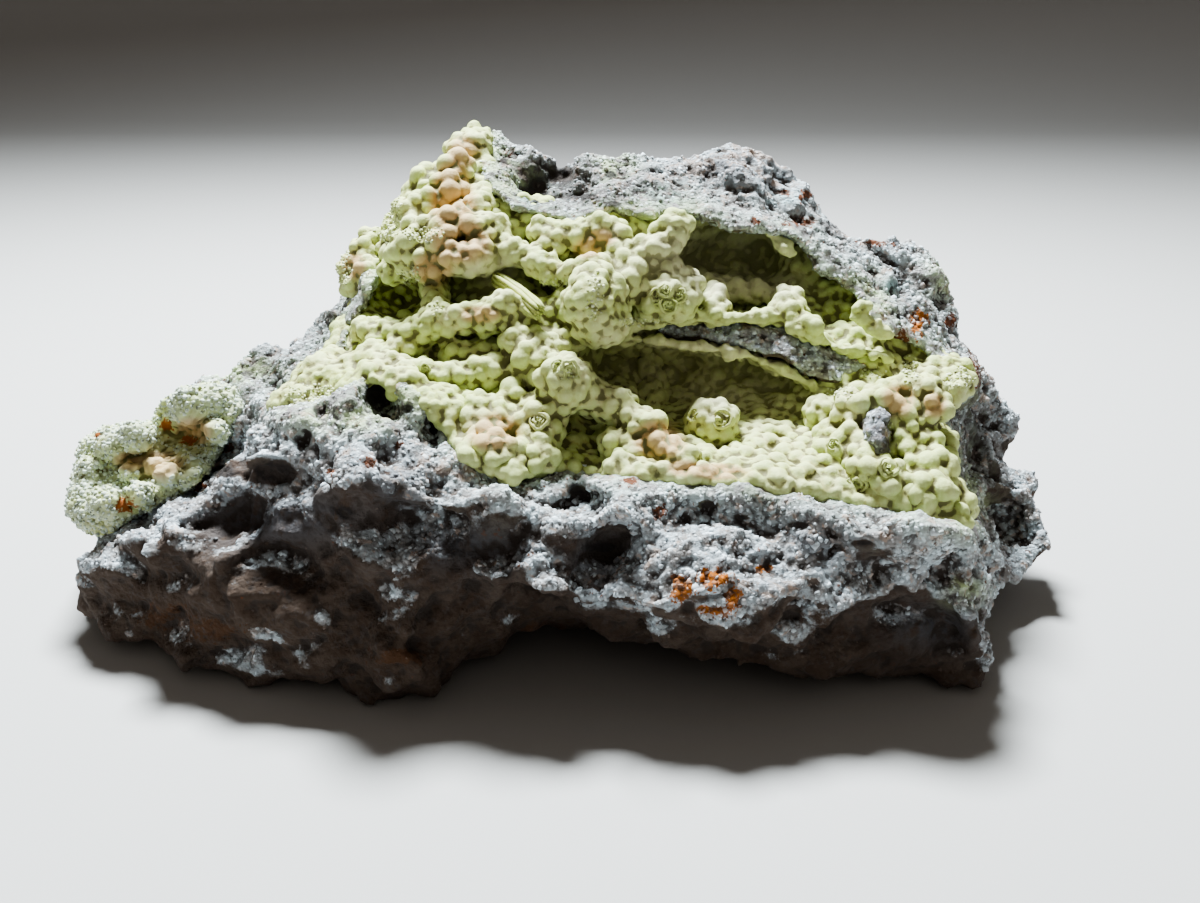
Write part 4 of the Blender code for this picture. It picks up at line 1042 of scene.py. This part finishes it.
sideForm = {
    "outline": [
        (-79.6, -9), (-78.3, -3), (-77.2, 1.2), (-74.8, 2.8), (-71.5, 3.8), (-69.2, 3.4), (-66.4, 4.4),
        (-65.4, 7.3), (-62.2, 8.8), (-59, 9.8), (-55.4, 9.4), (-54, 6.6), (-56, 2.6), (-58.4, -1.2),
        (-61.4, -4.8), (-67.2, -7.8), (-71, -9.8), (-74, -12), (-77, -11.4),
    ],
    "front": [
        (-75, 0, -6), (-70, 2, -8), (-68, -1.5, -6), (-72, -3, -8), (-64, 1, -2.8), (-62, 6.5, -9),
        (-58, 8, -8), (-60.5, 1.5, -3), (-66, -5, -11), (-73, -8, -13), (-61, -2, -13), (-56, 5, -10),
        (-71, -5.5, -9),
    ],
    "knobs": [
        (-73, 1, -7, 2.6), (-69.5, 2.2, -8, 2.4), (-76, -3, -7, 2.2), (-74, -8, -12.5, 2.4),
        (-69, -6.5, -12.3, 1.8), (-65, -3.5, -12.3, 1.7), (-61.5, 6.8, -9.2, 2.8), (-58, 7.5, -8.2, 2.2),
        (-67, -2.2, -8.4, 1.5), (-70.5, -3, -9.2, 1.5), (-57.5, 3, -10.2, 1.7),
    ],
    "tan": [(-66, -2, 4.5, 2.6), (-61, 3, 3.5, 2.6), (-70.5, -1.5, 3, 1.6)],
    "green": [(-74, -2, 5, 4), (-60, 0, 4, 3), (-60, 8, 5, 2)],
    "rust": [(-71.3, -8, 1.9, 1.5), (-65, 4, 1.1, 1.3), (-61.8, 1.6, 1.6, 1.0), (-75.5, 2.4, 0.8, 0.6)],
    "crumbs": {"smallest": 0.3, "largest": 0.6, "spacing": 0.62, "seed": 63, "grey": 1.0},
    "unevenness": [(0.14, 0.8, 3.0), (0.12, 2.2, 5.0)],  # height and size in mm, and seed
    "beadLayer": 0.3,  # mm of a knob's radius that its beads make up
    "hidden": (3.0, 0.15),  # mm behind the front, and how far turned away
    "sunk": 0.7,
    "thickness": 5.6,
    "voxel": 0.3,
    "fewest": 300,  # vertices of a loose body that is kept
    "triangles": 60000,
}


def sideCrust(tree, material):
    # the crust over the small lump at the left end
    body, front = skinUnder("sideSkin", sideForm)
    balls = ballsObject("sideBalls", shrunk(sideForm))
    skin = fuse(gather("sideSkin", [body, balls]), crustForm["skinVoxel"])
    isHidden = hiddenTest(front, *sideForm["hidden"])
    kinds = np.full(len(skin.data.vertices), fineKind)
    crust = withBeads("sideCrust", skin, np.where(isHidden(skin), 0.0, 1.0), kinds, tree, material,
                      sideForm["voxel"])
    dropCrumbs(crust, sideForm["fewest"])
    thin(crust, sideForm["triangles"], isHidden(crust))
    mesh = crust.data
    ruffled(mesh, sideForm["unevenness"])
    paintHollows(mesh)
    places = toLayout(pointsOf(mesh))
    for name in ("tan", "green", "rust"):
        paint(mesh, name, spots(places, sideForm[name]))
    paint(mesh, "grey", 1 - spots(places, sideForm["tan"]))
    return finished(crust, material, ["side_hollow_crust"])


rockForm = {
    "firstVoxel": 0.85,
    "voxel": 0.6,
    "crags": [(9.5, 2.6), (4.8, 1.4)],  # size of the blocks and how far they stand out, mm
    "furrows": [(9.0, 1.5), (4.2, 0.9)],  # size of the winding furrows and their depth, mm
    "swell": [(12, 0.8), (4.5, 0.5)],
    "grit": [(1.5, 0.16), (0.75, 0.12)],
    "dents": [  # across, up, width, height, depth; a negative depth stands out
        (-8.5, 40.5, 4.5, 2.6, 4.5), (-33.9, 8.6, 2.2, 3.0, 6.0), (-42.2, 6.2, 1.3, 1.4, 4.0),
        (-25.0, 3.8, 1.2, 1.9, 4.5), (-48.5, -3.4, 5, 2.6, 2.6), (-27, -9.6, 8, 2.2, 2.6),
        (-3.4, -5.8, 1.6, 1.8, 3.0), (3.2, -7.5, 3.2, 3.6, -2.4), (1, -13.5, 4.5, 2.8, 3.0),
        (16.3, -7.6, 2.0, 1.0, 1.8), (11.6, -10.4, 2.2, 1.1, 1.8), (21, -9.5, 2.0, 0.9, 1.5),
        (30, -10.5, 2.6, 0.9, 1.6), (39.5, -13.2, 2.2, 1.0, 1.6), (-58, -10, 8, 4, 2.5),
        (-46, -16, 9, 3, 2.0), (-31, -12.5, 6, 2.2, 2.0), (47, -19, 9, 2.6, 2.2), (28, -25.5, 9, 2.2, 1.8),
        (17, 44, 1.4, 3, 1.8), (55.5, 2, 3, 6, 2.0), (-17, -15, 4, 1.8, 1.6), (40, 31.4, 7, 1.2, 1.4),
        (-64, -19, 6, 2.0, 1.6), (-37, -22, 9, 2.4, 1.6),
    ],
    "inner": 0.3,  # share of the crags' height on stone inside the hollow
    "lumps": {"smallest": 0.5, "largest": 0.95, "spacing": 1.3, "sink": 0.3, "seed": 51, "density": 8e6,
              "squash": 0.35, "uneven": 1.2, "sides": 10, "rings": 6},
    "drawnOut": (0.6, 1, 1),  # the patches and furrows are longer across than up
    "lumpVoxel": 0.34,
    "cuts": {"rockLeft": (None, -20), "rockMiddle": (-20, 20), "rockRight": (20, None)},
    "lap": 1.6,  # mm that each part runs on below its neighbour
    "dive": 0.9,  # mm that it sinks there
    "fewest": 3000,  # vertices of a loose body that is kept
    "triangles": 190000,
    "proud": 0.02,  # share of each side that the rock may stand outside the solid's box
}
rockTints = {  # across, up, width, height
    "pit": [  # open pits without crumbs, painted near-black as the shade in them
        (-33.9, 8.6, 1.9, 2.6), (-42.2, 6.2, 1.1, 1.2), (-25.0, 3.8, 1.0, 1.6), (-3.5, -6.0, 1.5, 1.4),
        (-9.6, 39.4, 2.2, 2.4), (-6.2, 41, 2.6, 1.3), (-2.5, 38.2, 3.2, 0.7), (2, 37.2, 1.6, 0.5),
        (-29, 6.4, 1.4, 0.8), (-49, -3.2, 4.6, 2.0), (-56, -3, 2, 1.2), (0.5, -14.5, 3.4, 1.4),
        (16.3, -8.0, 1.7, 0.6), (11.6, -10.9, 1.9, 0.7), (21, -9.9, 1.6, 0.5), (30, -11.0, 2.0, 0.5),
        (39.5, -13.7, 1.8, 0.6), (-62, -2.5, 1.6, 0.9), (-38.5, -9, 2.2, 1.4), (-5.5, 41.5, 1.2, 1.2),
        (-14.5, 43.5, 0.8, 0.8), (1.5, 41.5, 1.2, 0.6),
    ],
    "rust": [
        (12, -20.5, 2.4, 2.2), (17, -19, 3.2, 2.0), (24.5, -17.6, 1.6, 1.0), (17, -24, 3.2, 0.9),
        (-72, -8, 2, 2), (48, 20, 1.6, 1.2), (47.6, 18.6, 1.0, 1.6), (41, 13.5, 2.6, 1.3),
        (-59, -27, 5, 2.2), (-30, -31, 5, 1.6), (-64, -25, 5, 2.6), (-8, -27.5, 6, 2), (20, -22, 1.5, 2.5),
    ],
    "redbrown": [
        (29.8, 34.3, 2.6, 1.0), (23.5, 34.6, 1, 0.7), (27.5, 38.8, 1.4, 0.5), (41, 31.4, 2.6, 0.9),
        (31, 38.5, 1.2, 0.9), (-34.5, -1.5, 2.0, 1.2), (-40, -3, 1.4, 0.8), (-30, 0.8, 1.2, 0.8),
        (7, -2.4, 1.6, 0.7), (52.5, 19.5, 1.6, 1.2), (45, 17, 1.6, 2.0), (55.5, 12, 2, 3),
        (9, -9, 1.2, 1.6), (-56, 0.5, 1.8, 0.8), (-60, -5, 2.2, 0.9), (4.5, -4.5, 1.6, 0.8),
    ],
    "pink": [
        (24, 45, 6, 4), (13, 42, 4, 3), (54, 27, 3, 3), (-20, -2, 8, 3), (57, 13, 3, 5), (27, -21, 4, 2),
        (40, -5, 6, 3),
    ],
    "dusty": [(26, 41, 9, 6), (33, 37, 8, 4)],
    "blue": [(9.6, 38.2, 2.6, 1.4), (27.5, 37.8, 2.4, 0.9), (-11, 37.6, 1.6, 1.4), (44, 25, 2, 1)],
    "lime": [
        (-38, 5, 8, 2.2), (52, 26, 4, 3.5), (55, -21, 3, 2), (2, 43, 3.5, 2.6), (-17, 44, 3, 4),
        (9, 36, 5, 3), (-55, 12, 5, 2.2), (-34, 29, 3.5, 4), (-36, 14, 3, 3), (40, 22, 4, 4),
        (-28, 8, 4, 2), (-13, 40, 4, 3), (55, -8, 2.5, 4),
    ],
    "grey": [
        (-7, 40, 6, 3), (5, 39.5, 11, 3.4), (-9, 42.6, 6, 1.4), (20, 40.5, 4, 2.4), (36, 33.5, 5, 1.6),
        (-41, 20, 4.5, 6), (-4, 38.4, 9, 2.4), (1, 41.4, 10, 1.8), (18, 43, 5, 2.0), (-13, 41, 2, 4),
        (42.5, 2.5, 3, 5), (56, 2, 4, 8), (-38, 17, 5, 6), (-45, 12, 7, 4), (-33, 8, 4, 4), (25, -6, 6, 3),
        (0, -16, 6, 5), (-30, -5, 6, 5), (33, -13, 7, 4), (-50, 13, 5, 3), (-48, -10, 14, 5),
        (-20, -14, 12, 4), (50, -26, 8, 4),
    ],
    "slate": [(-7, 39.5, 9, 4.5), (7, 39, 10, 3.2), (17, 41.5, 4, 2.5), (27, 36.5, 5, 1.2), (47, 22, 3, 3)],
    # the lower wall: dark brown bare stone, its own colour darkened further as painted shade
    "brown": [
        (-55, -15, 15, 5), (-30, -11, 8, 2.6), (-50, -21, 20, 8), (-32, -28, 20, 9), (-64, -21, 10, 7),
        (-5, -27, 13, 5), (20, -33, 20, 6), (42, -29, 15, 5), (0, -36, 62, 7), (-24, -18, 12, 5),
        (-66, -28, 8, 8),
    ],
    # spots with more pale crust; the two at the right end of the wall, at (58, -18) and (62, -12), are
    # painted light on a corner that the key lamp leaves in shade
    "bleached": [
        (-74, -10, 4, 4), (-58, -6, 8, 2), (-45, 2, 9, 4), (58, -18, 4, 6), (62, -12, 4, 6), (-35, 7, 7, 4),
        (20, -14, 26, 7), (-15, -7, 10, 4), (8, -22, 10, 4), (48, -14, 12, 4), (35, -19, 12, 3),
        (-27, -12, 9, 4), (40, 30, 14, 6), (28, 40, 10, 5), (8, 42, 10, 4), (59, -24, 2, 9), (22, 17, 7, 2),
        (33, 12.5, 3, 1.4), (41.5, 2, 2, 4),
    ],
}
ledgeStone = {  # the host rock that shows in the broken edge of the ledge and through the crust
    "outline": [
        (8, 19.0), (17, 19.6), (22, 19.8), (27, 19.4), (31, 17.6), (36, 15.2), (40, 14.2), (42, 12.6),
        (38, 11.2), (36, 9.6), (33, 9.8), (30, 11.8), (27, 13.4), (22, 15.2), (17, 16.3), (10, 17.0),
    ],
    "front": [
        (8, 18, -12.5), (14, 18.8, -11.5), (17, 17, -13), (20, 19, -11.5), (22, 16, -14.6),
        (26, 18.4, -12.4), (27, 14.4, -15.3), (31, 16, -13), (31, 12.4, -15.4), (36, 13.6, -13),
        (35.5, 10.6, -15), (42, 12.6, -13),
    ],
    "islands": [  # across, up, deep, radius: each runs back to the rock behind the crust
        (41.4, 4.9, -24.5, 1.8), (41.0, 2.9, -25.4, 2.1), (41.6, 0.8, -25.9, 1.8), (42.2, -0.9, -26.3, 1.4),
        (40.0, 0.2, -25.6, 1.4), (-0.8, 24.6, -20.6, 1.1), (-0.9, 22.8, -22.3, 1.2),
        (-0.7, 21.2, -22.2, 1.0),
    ],
    "back": 6.0,
    "islandDepth": 13,  # mm
}


def hostRock():
    # the solid's shape, with the stone that comes through the crust
    whole = bmesh.new()
    whole.from_mesh(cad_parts["matrix_rock"].data)
    bmesh.ops.remove_doubles(whole, verts=whole.verts, dist=1e-6)
    mesh = bpy.data.meshes.new("rock")
    whole.to_mesh(mesh)
    whole.free()
    rock = link("rock", mesh)
    front = depthField(ledgeStone["front"])
    back = level(ledgeStone["back"])
    stone = reliefBody("ledge", ledgeStone["outline"], front, back, roundness=0.4, step=1.2)
    islands = ballsObject("islands", [
        (x, y, deep + step, radius)
        for x, y, deep, radius in ledgeStone["islands"] for step in range(ledgeStone["islandDepth"])
    ])
    return fuse(gather("matrixRock", [rock, stone, islands]), rockForm["firstVoxel"])


def rimGap(places):
    # how far each place is from the rim of the crust, in mm
    return outlineGap(places[:, :2], crustForm["outline"])


def tintRock(mesh):
    # the attributes that the rock's colours follow, painted shade in the pits and on the lower wall among
    # them; the back has none of its stains or painted shade
    points = pointsOf(mesh)
    places = toLayout(points)
    front = np.clip((24 + 0.75 * places[:, 1] - places[:, 2]) / 8, 0, 1)
    for name, rows in rockTints.items():
        paint(mesh, name, spots(places, rows) * front)
    paint(mesh, "rim", np.exp(-rimGap(places) / 2.5) * front)


def crustyParts(mesh):
    # where pale crumbly crust covers the stone, 0 to 1
    points = pointsOf(mesh)
    places = toLayout(points)
    upward = spreadOut(normalsOf(mesh), edgesOf(mesh), 12)[:, 2]
    drawnOut = points * np.array(rockForm["drawnOut"])
    patch = noiseAt(drawnOut, 4.5, 21.0) + 0.5 * noiseAt(drawnOut, 1.9, 22.0)
    # faces that look up get more pale crust: partly weathering, partly painted light on tops
    lean = 0.8 * upward + 0.8 * spots(places, rockTints["bleached"])
    lean -= 0.9 * spots(places, rockTints["brown"])
    lean += 0.7 * np.exp(-rimGap(places) / 3) - 0.45 * spots(places, rockTints["grey"])
    lean -= 1.4 * spots(places, rockTints["pit"])
    return np.clip(0.6 + 1.5 * (0.6 * patch + lean), 0, 1)


def cragged(rock):
    # blocks, winding furrows and dents
    points, normals = pointsOf(rock.data), normalsOf(rock.data)
    places = toLayout(points)
    inset = np.clip((rimGap(places) - 0.5) / 3, 0.12, 1)  # the rim of the hollow keeps its line
    inset[inside(places, crustForm["outline"])] *= rockForm["inner"]
    lift = np.zeros(len(points))
    for size, height in rockForm["crags"]:
        cells = cellsAt(points, size, size)
        lift += height * (np.minimum(cells[:, 1] - cells[:, 0], 0.7) - 0.45)
    for size, depth in rockForm["furrows"]:
        drawnOut = points * np.array(rockForm["drawnOut"]) + normals * 0.2 * mm
        winding = np.abs(noiseAt(drawnOut, size, size))
        lift -= depth * np.clip(1 - winding / 0.22, 0, 1) ** 0.7
    for size, height in rockForm["swell"]:
        lift += height * noiseAt(points, size, 3.0)
    moved = points + normals * (lift * inset)[:, None] * mm
    facing = np.clip(-turnedAway(rock.data) * 3, 0, 1)
    for across, up, width, height, depth in rockForm["dents"]:
        gap = ((places[:, 0] - across) / width) ** 2 + ((places[:, 1] - up) / height) ** 2
        moved += np.outer(np.exp(-gap ** 1.5) * facing * depth * mm, inWay)
    movePoints(rock.data, moved)
    return dropCrumbs(fuse(rock, rockForm["voxel"]), rockForm["fewest"])


def slab(rock, low, high):
    # the closed part of the rock between two upright cuts
    part = bmesh.new()
    part.from_mesh(rock.data)
    for place, way in ((low, -1), (high, 1)):
        if place is None:
            continue
        cut = bmesh.ops.bisect_plane(part, geom=part.verts[:] + part.edges[:] + part.faces[:],
                                     plane_co=((place + way * rockForm["lap"]) * mm, 0, 0),
                                     plane_no=(way, 0, 0), clear_outer=True)
        edges = [piece for piece in cut["geom_cut"] if isinstance(piece, bmesh.types.BMEdge)]
        bmesh.ops.triangle_fill(part, edges=edges, use_beauty=True)
    bmesh.ops.recalc_face_normals(part, faces=part.faces[:])
    mesh = bpy.data.meshes.new("slab")
    part.to_mesh(mesh)
    part.free()
    return link("slab", mesh)


def crumblyPart(name, rock, low, high, tree, material):
    # one part of the rock with its crumbs grown on; past its cuts it dives below its neighbour
    part = slab(rock, low, high)
    mesh = part.data
    points = pointsOf(mesh)
    pastCut = lambda x: np.maximum(0 if low is None else low - x / mm, 0 if high is None else x / mm - high)
    seen = (turnedAway(mesh) < 0.25) & (points[:, 2] > 1.5 * mm) & (pastCut(points[:, 0]) < 1.2)
    clear = rimGap(toLayout(points)) > 0.5
    paint(mesh, "cover", crustyParts(mesh) * seen * clear)
    paint(mesh, "size", np.ones(len(points)))
    bumps = scattered("lumps", part, tree, material, rockForm["lumps"])
    part = fuse(gather(name, [part, bumps]), rockForm["lumpVoxel"])
    mesh = part.data
    points, normals = pointsOf(mesh), normalsOf(mesh)
    lift = np.clip(pastCut(points[:, 0]) / rockForm["lap"], 0, 1) * -rockForm["dive"]
    for size, height in rockForm["grit"]:
        lift += height * noiseAt(points, size, 8.0)
    movePoints(mesh, points + normals * lift[:, None] * mm)
    hidden = (turnedAway(mesh) > 0.1) | (points[:, 2] < 3 * mm) | (pastCut(points[:, 0]) > 0.9)
    print(name, "seen", int((~hidden).sum()), "of", len(hidden))
    mesh = thin(part, rockForm["triangles"], hidden).data
    low, high = (np.array(side) for side in cadBox)
    room = (high - low) * rockForm["proud"]
    points = np.clip(pointsOf(mesh), low - room, high + room)
    points[:, 2] = np.maximum(points[:, 2], low[2])
    movePoints(mesh, points)
    paintHollows(mesh, 0.04)
    paint(mesh, "crusty", crustyParts(mesh))
    tintRock(mesh)
    return finished(part, material, ["matrix_rock"])


def matrixRock(tree, material):
    rock = cragged(hostRock())
    parts = [crumblyPart(name, rock, *cuts, tree, material) for name, cuts in rockForm["cuts"].items()]
    drop(rock)
    return parts


rockPaint = {
    "stone": colour(0.072, 0.047, 0.034), "lightStone": colour(0.118, 0.090, 0.072),
    "brown": colour(0.058, 0.035, 0.022), "greyStone": colour(0.075, 0.072, 0.078),
    "greyCrust": colour(0.15, 0.15, 0.165), "lime": colour(0.54, 0.64, 0.32),
    "pink": colour(0.50, 0.345, 0.255), "blue": colour(0.40, 0.66, 0.70),
    "slate": colour(0.15, 0.148, 0.155), "rust": colour(0.40, 0.125, 0.012),
    "darkRust": colour(0.085, 0.034, 0.010), "redbrown": colour(0.17, 0.058, 0.024),
    "pepper": colour(0.085, 0.07, 0.064), "pit": colour(0.022, 0.017, 0.016),
}


def rockColours(graph, where, dull, pale):
    # crust in two tones over brown and grey stone, with its stains, and painted shade in the pits and on
    # the lower wall
    patch = graph.noise(where, 2.6, 4.0, 0.65)
    fine = graph.noise(where, 0.6, 4.0, 0.7)
    crusty = graph.between(graph.attribute("crusty") + (fine - 0.5) * 0.9, 0.3, 0.7)
    stone = graph.blend(graph.between(patch, 0.4, 0.6), rockPaint["stone"], rockPaint["lightStone"])
    # the brown lower wall: partly the stone's own colour, partly painted shade
    stone = graph.blend(graph.attribute("brown") * 0.7, stone, rockPaint["brown"])
    crust = graph.blend(graph.between(patch, 0.36, 0.62), dull, pale)
    grey = graph.attribute("grey") * graph.between(patch, 0.32, 0.52)
    stone = graph.blend(grey, stone, rockPaint["greyStone"])
    crust = graph.blend(grey * 0.85, crust, rockPaint["greyCrust"])
    base = graph.blend(crusty, stone, crust)
    lime = graph.attribute("lime") * 1.2 + graph.attribute("rim") * 0.5
    lime = graph.clamped(lime * graph.between(patch, 0.35, 0.6))
    base = graph.blend(lime * 0.7, base, rockPaint["lime"])
    pink = graph.between(graph.noise(where, 1.7, 3.0, 0.6, 0.5) + graph.attribute("pink") * 0.1, 0.56, 0.66)
    base = graph.blend(pink * crusty * 0.55, base, rockPaint["pink"])
    blue = graph.attribute("blue") * graph.between(patch, 0.35, 0.6)
    base = graph.blend(blue * 0.6, base, rockPaint["blue"])
    speck = graph.noise(where, 1.1, 3.0, 0.7)
    stain = (patch - 0.5) * 2.4 + (fine - 0.5) * 1.0
    spotted = stain + (speck - 0.5) * 2.6
    slate = graph.attribute("slate") * graph.between(speck + (patch - 0.5) * 1.2, 0.4, 0.58)
    base = graph.blend(slate * 0.75, base, rockPaint["slate"])
    # rust darker on bare stone and on the brown lower wall: painted shade
    bare = graph.clamped(graph.attribute("brown") * 1.3 + (1 - crusty) * 0.5)
    rust = graph.between(graph.attribute("rust") * 1.25 + spotted, 0.6, 0.85)
    rusty = graph.blend(bare, rockPaint["rust"], rockPaint["darkRust"])
    base = graph.blend(rust * (1 - bare * 0.25), base, rusty)
    dark = graph.between(graph.attribute("redbrown") * 1.2 + spotted, 0.62, 0.9)
    base = graph.blend(dark, base, rockPaint["redbrown"])
    pepper = graph.between(speck, 0.52, 0.63)
    broad = graph.between(graph.noise(where, 6.5, 2.0, 0.5), 0.38, 0.55)
    pepper = pepper * graph.clamped(broad + graph.attribute("grey") * 0.8)
    base = graph.blend(pepper * 0.65, base, rockPaint["pepper"])
    # painted shade: the pits nearly black
    pit = graph.between(graph.attribute("pit") + stain * 0.5, 0.3, 0.8)
    base = graph.blend(pit * 0.9, base, rockPaint["pit"])
    return base, fine


rockSkinPaint = {
    "dull": colour(0.29, 0.275, 0.265), "pale": colour(0.50, 0.56, 0.60),
    "creaseShade": colour(0.05, 0.038, 0.032),
}


def rockFinish():
    material, graph = newMaterial("matrixRockFinish")
    where = graph.coordinates()
    base, fine = rockColours(graph, where, rockSkinPaint["dull"], rockSkinPaint["pale"])
    # painted shade: the rock's creases and dips darkened
    crease = graph.between(graph.attribute("crease"), 0.1, 1.0)
    dip = graph.between(graph.attribute("dip"), 0.4, 1.5)
    base = graph.blend(graph.clamped(crease * 0.65 + dip * 0.35), base, rockSkinPaint["creaseShade"])
    height = graph.noise(where, 0.45, 5.0, 0.75) + graph.cells(where, 0.7) * -0.6
    shade(graph, base, rough=0.88, height=height, strength=0.9, distance=0.5)
    return material


grainPaint = {
    "dull": colour(0.36, 0.35, 0.345), "pale": colour(0.62, 0.71, 0.77),
    "light": colour(0.80, 0.90, 0.96), "dark": colour(0.22, 0.17, 0.145),
    "creaseShade": colour(0.07, 0.055, 0.048),
}


def grainFinish():
    material, graph = newMaterial("rockGrainFinish")
    where = graph.coordinates()
    base, fine = rockColours(graph, where, grainPaint["dull"], grainPaint["pale"])
    tone = graph.attribute("tone")
    dip = graph.between(graph.attribute("dip"), 0.3, 1.5)
    crease = graph.between(graph.attribute("crease"), 0.2, 1.2)
    light = graph.between(tone, 0.5, 1.0) * graph.attribute("crusty")
    base = graph.blend(light * 0.5, base, grainPaint["light"])
    base = graph.blend((1 - graph.between(tone, 0.0, 0.3)) * 0.4, base, grainPaint["dark"])
    # painted shade: grains darkened in dips and creases
    base = graph.blend(graph.clamped(dip * 0.5 + crease * 0.35), base, grainPaint["creaseShade"])
    shade(graph, base, rough=0.8, height=fine, strength=0.4, distance=0.2)
    return material


grainForm = {
    "front": {"smallest": 0.3, "largest": 0.62, "spacing": 0.66, "seed": 3},
    "back": {"smallest": 0.3, "largest": 0.7, "spacing": 1.0, "seed": 9},
}
grainStyle = {"density": 12e6, "squash": 0.5, "sink": 0.4, "uneven": 1.8, "sides": 5, "rings": 3}


def rockGrains(parts, tree, material):
    # crumbs on the crusty parts of the rock, larger and sparser on the back
    for rock in parts:
        mesh = rock.data
        points = pointsOf(mesh)
        seen = turnedAway(mesh) < 0.05
        crusty = crustyParts(mesh)
        clear = (rimGap(toLayout(points)) > 0.4) & (points[:, 2] > 3 * mm)
        swell = np.clip(1 + 0.4 * noiseAt(points, 3.0, 15.0), 0.7, 1.5)
        fine = 1 - 0.45 * spots(toLayout(points), rockTints["dusty"])
        paint(mesh, "size", swell * fine * np.where(crusty < 0.35, 0.65, 1.0))
        for side, grains in grainForm.items():
            shown = seen if side == "front" else ~seen
            cover = 0.1 + 0.9 * np.clip((crusty - 0.25) / 0.35, 0, 1)
            paint(mesh, "cover", np.where(shown & clear, cover, 0.0))
            obj = scattered(rock.name + side + "Crumbs", rock, tree, material, {**grainStyle, **grains})
            tintRock(obj.data)
            finished(obj, material)


scatter = scatterTree()
crustMaterial = crustFinish()
print("crust")
lining = hollowLining(scatter, crustMaterial)
growths = hollowGrowths(scatter, crustMaterial)
crustRings(growths, crustMaterial)
crustFibres(crustMaterial)
crumbMaterial = crustCrumbFinish()
for name, ground in (("liningCrumbs", lining), ("growthCrumbs", growths)):
    facing = turnedAway(ground.data) < 0.1
    broken = spots(toLayout(pointsOf(ground.data)), crustTints["broken"])
    crustCrumbs(name, ground, np.clip((broken - 0.35) * 4, 0, 1) * facing, scatter, crumbMaterial,
                crustDetails["crumbs"])
side = sideCrust(scatter, crustMaterial)
places = toLayout(pointsOf(side.data))
smooth = spots(places, sideForm["tan"] + sideForm["rust"])
crustCrumbs("sideCrumbs", side, np.clip(1.3 - smooth * 2.2, 0, 1) * (turnedAway(side.data) < 0.4), scatter,
            crumbMaterial, sideForm["crumbs"])
print("rock")
rockMaterial = rockFinish()
rockGrains(matrixRock(scatter, rockMaterial), scatter, grainFinish())


studio = {
    "floor": colour(0.42, 0.41, 0.40),
    "sky": colour(0.95, 0.88, 0.80),
    "skyStrength": 0.2,
    "key": {"where": (-0.06, 0.20, 0.50), "size": 0.16, "power": 16.0, "tint": (0.88, 0.96, 1.0)},
    "fill": {"where": (0.15, -0.70, 0.50), "size": 0.5, "power": 0.35, "tint": (1.0, 0.93, 0.84)},
    "aim": (0, 0, 0.03),  # where the lights point
    "halfWidth": 12,  # m, of the floor, and how far it comes forward
    "sweep": (0.8, 0.7, 2.5),  # m back to where the floor turns up, the turn's radius, the wall's top
}


def areaLight(name):
    form = studio[name]
    data = bpy.data.lights.new(name, "AREA")
    data.shape = "DISK"
    data.size = form["size"]
    data.energy = form["power"]
    data.color = form["tint"]
    lamp = link(name, data)
    lamp.location = form["where"]
    lamp.rotation_euler = (Vector(studio["aim"]) - lamp.location).to_track_quat("-Z", "Y").to_euler()


def setStudio():
    # a floor that sweeps up into a wall far behind
    start, radius, top = studio["sweep"]
    wide = studio["halfWidth"]
    turns = [math.radians(6 * i) for i in range(16)]
    profile = [(-wide, 0)] + [(start + radius * math.sin(t), radius * (1 - math.cos(t))) for t in turns]
    profile.append((start + radius, top))
    points = [(x, y, z) for y, z in profile for x in (-wide, wide)]
    faces = [(2 * i, 2 * i + 1, 2 * i + 3, 2 * i + 2) for i in range(len(profile) - 1)]
    floorMesh = meshFrom("floor", points, faces)
    floorMesh.shade_smooth()
    floor = link("floor", floorMesh)
    material, graph = newMaterial("floorFinish")
    surface = graph.node("ShaderNodeBsdfPrincipled", None,
                         {"Base Color": studio["floor"], "Roughness": 0.9})
    graph.node("ShaderNodeOutputMaterial", None, {"Surface": surface})
    floorMesh.materials.append(material)
    world = bpy.data.worlds.new("studio")
    bpy.context.scene.world = world
    world.use_nodes = True
    background = world.node_tree.nodes["Background"]
    background.inputs["Color"].default_value = studio["sky"]
    background.inputs["Strength"].default_value = studio["skyStrength"]
    areaLight("key")
    areaLight("fill")


def setCamera():
    data = bpy.data.cameras.new("camera")
    data.lens = layout["lens"]
    data.clip_start = 0.005
    data.clip_end = 60
    camera = link("camera", data)
    camera.location = eye * mm
    camera.rotation_euler = (math.radians(90) - tilt, 0, 0)
    bpy.context.scene.camera = camera
    bpy.context.scene.view_settings.look = "AgX - Medium High Contrast"


setStudio()
setCamera()
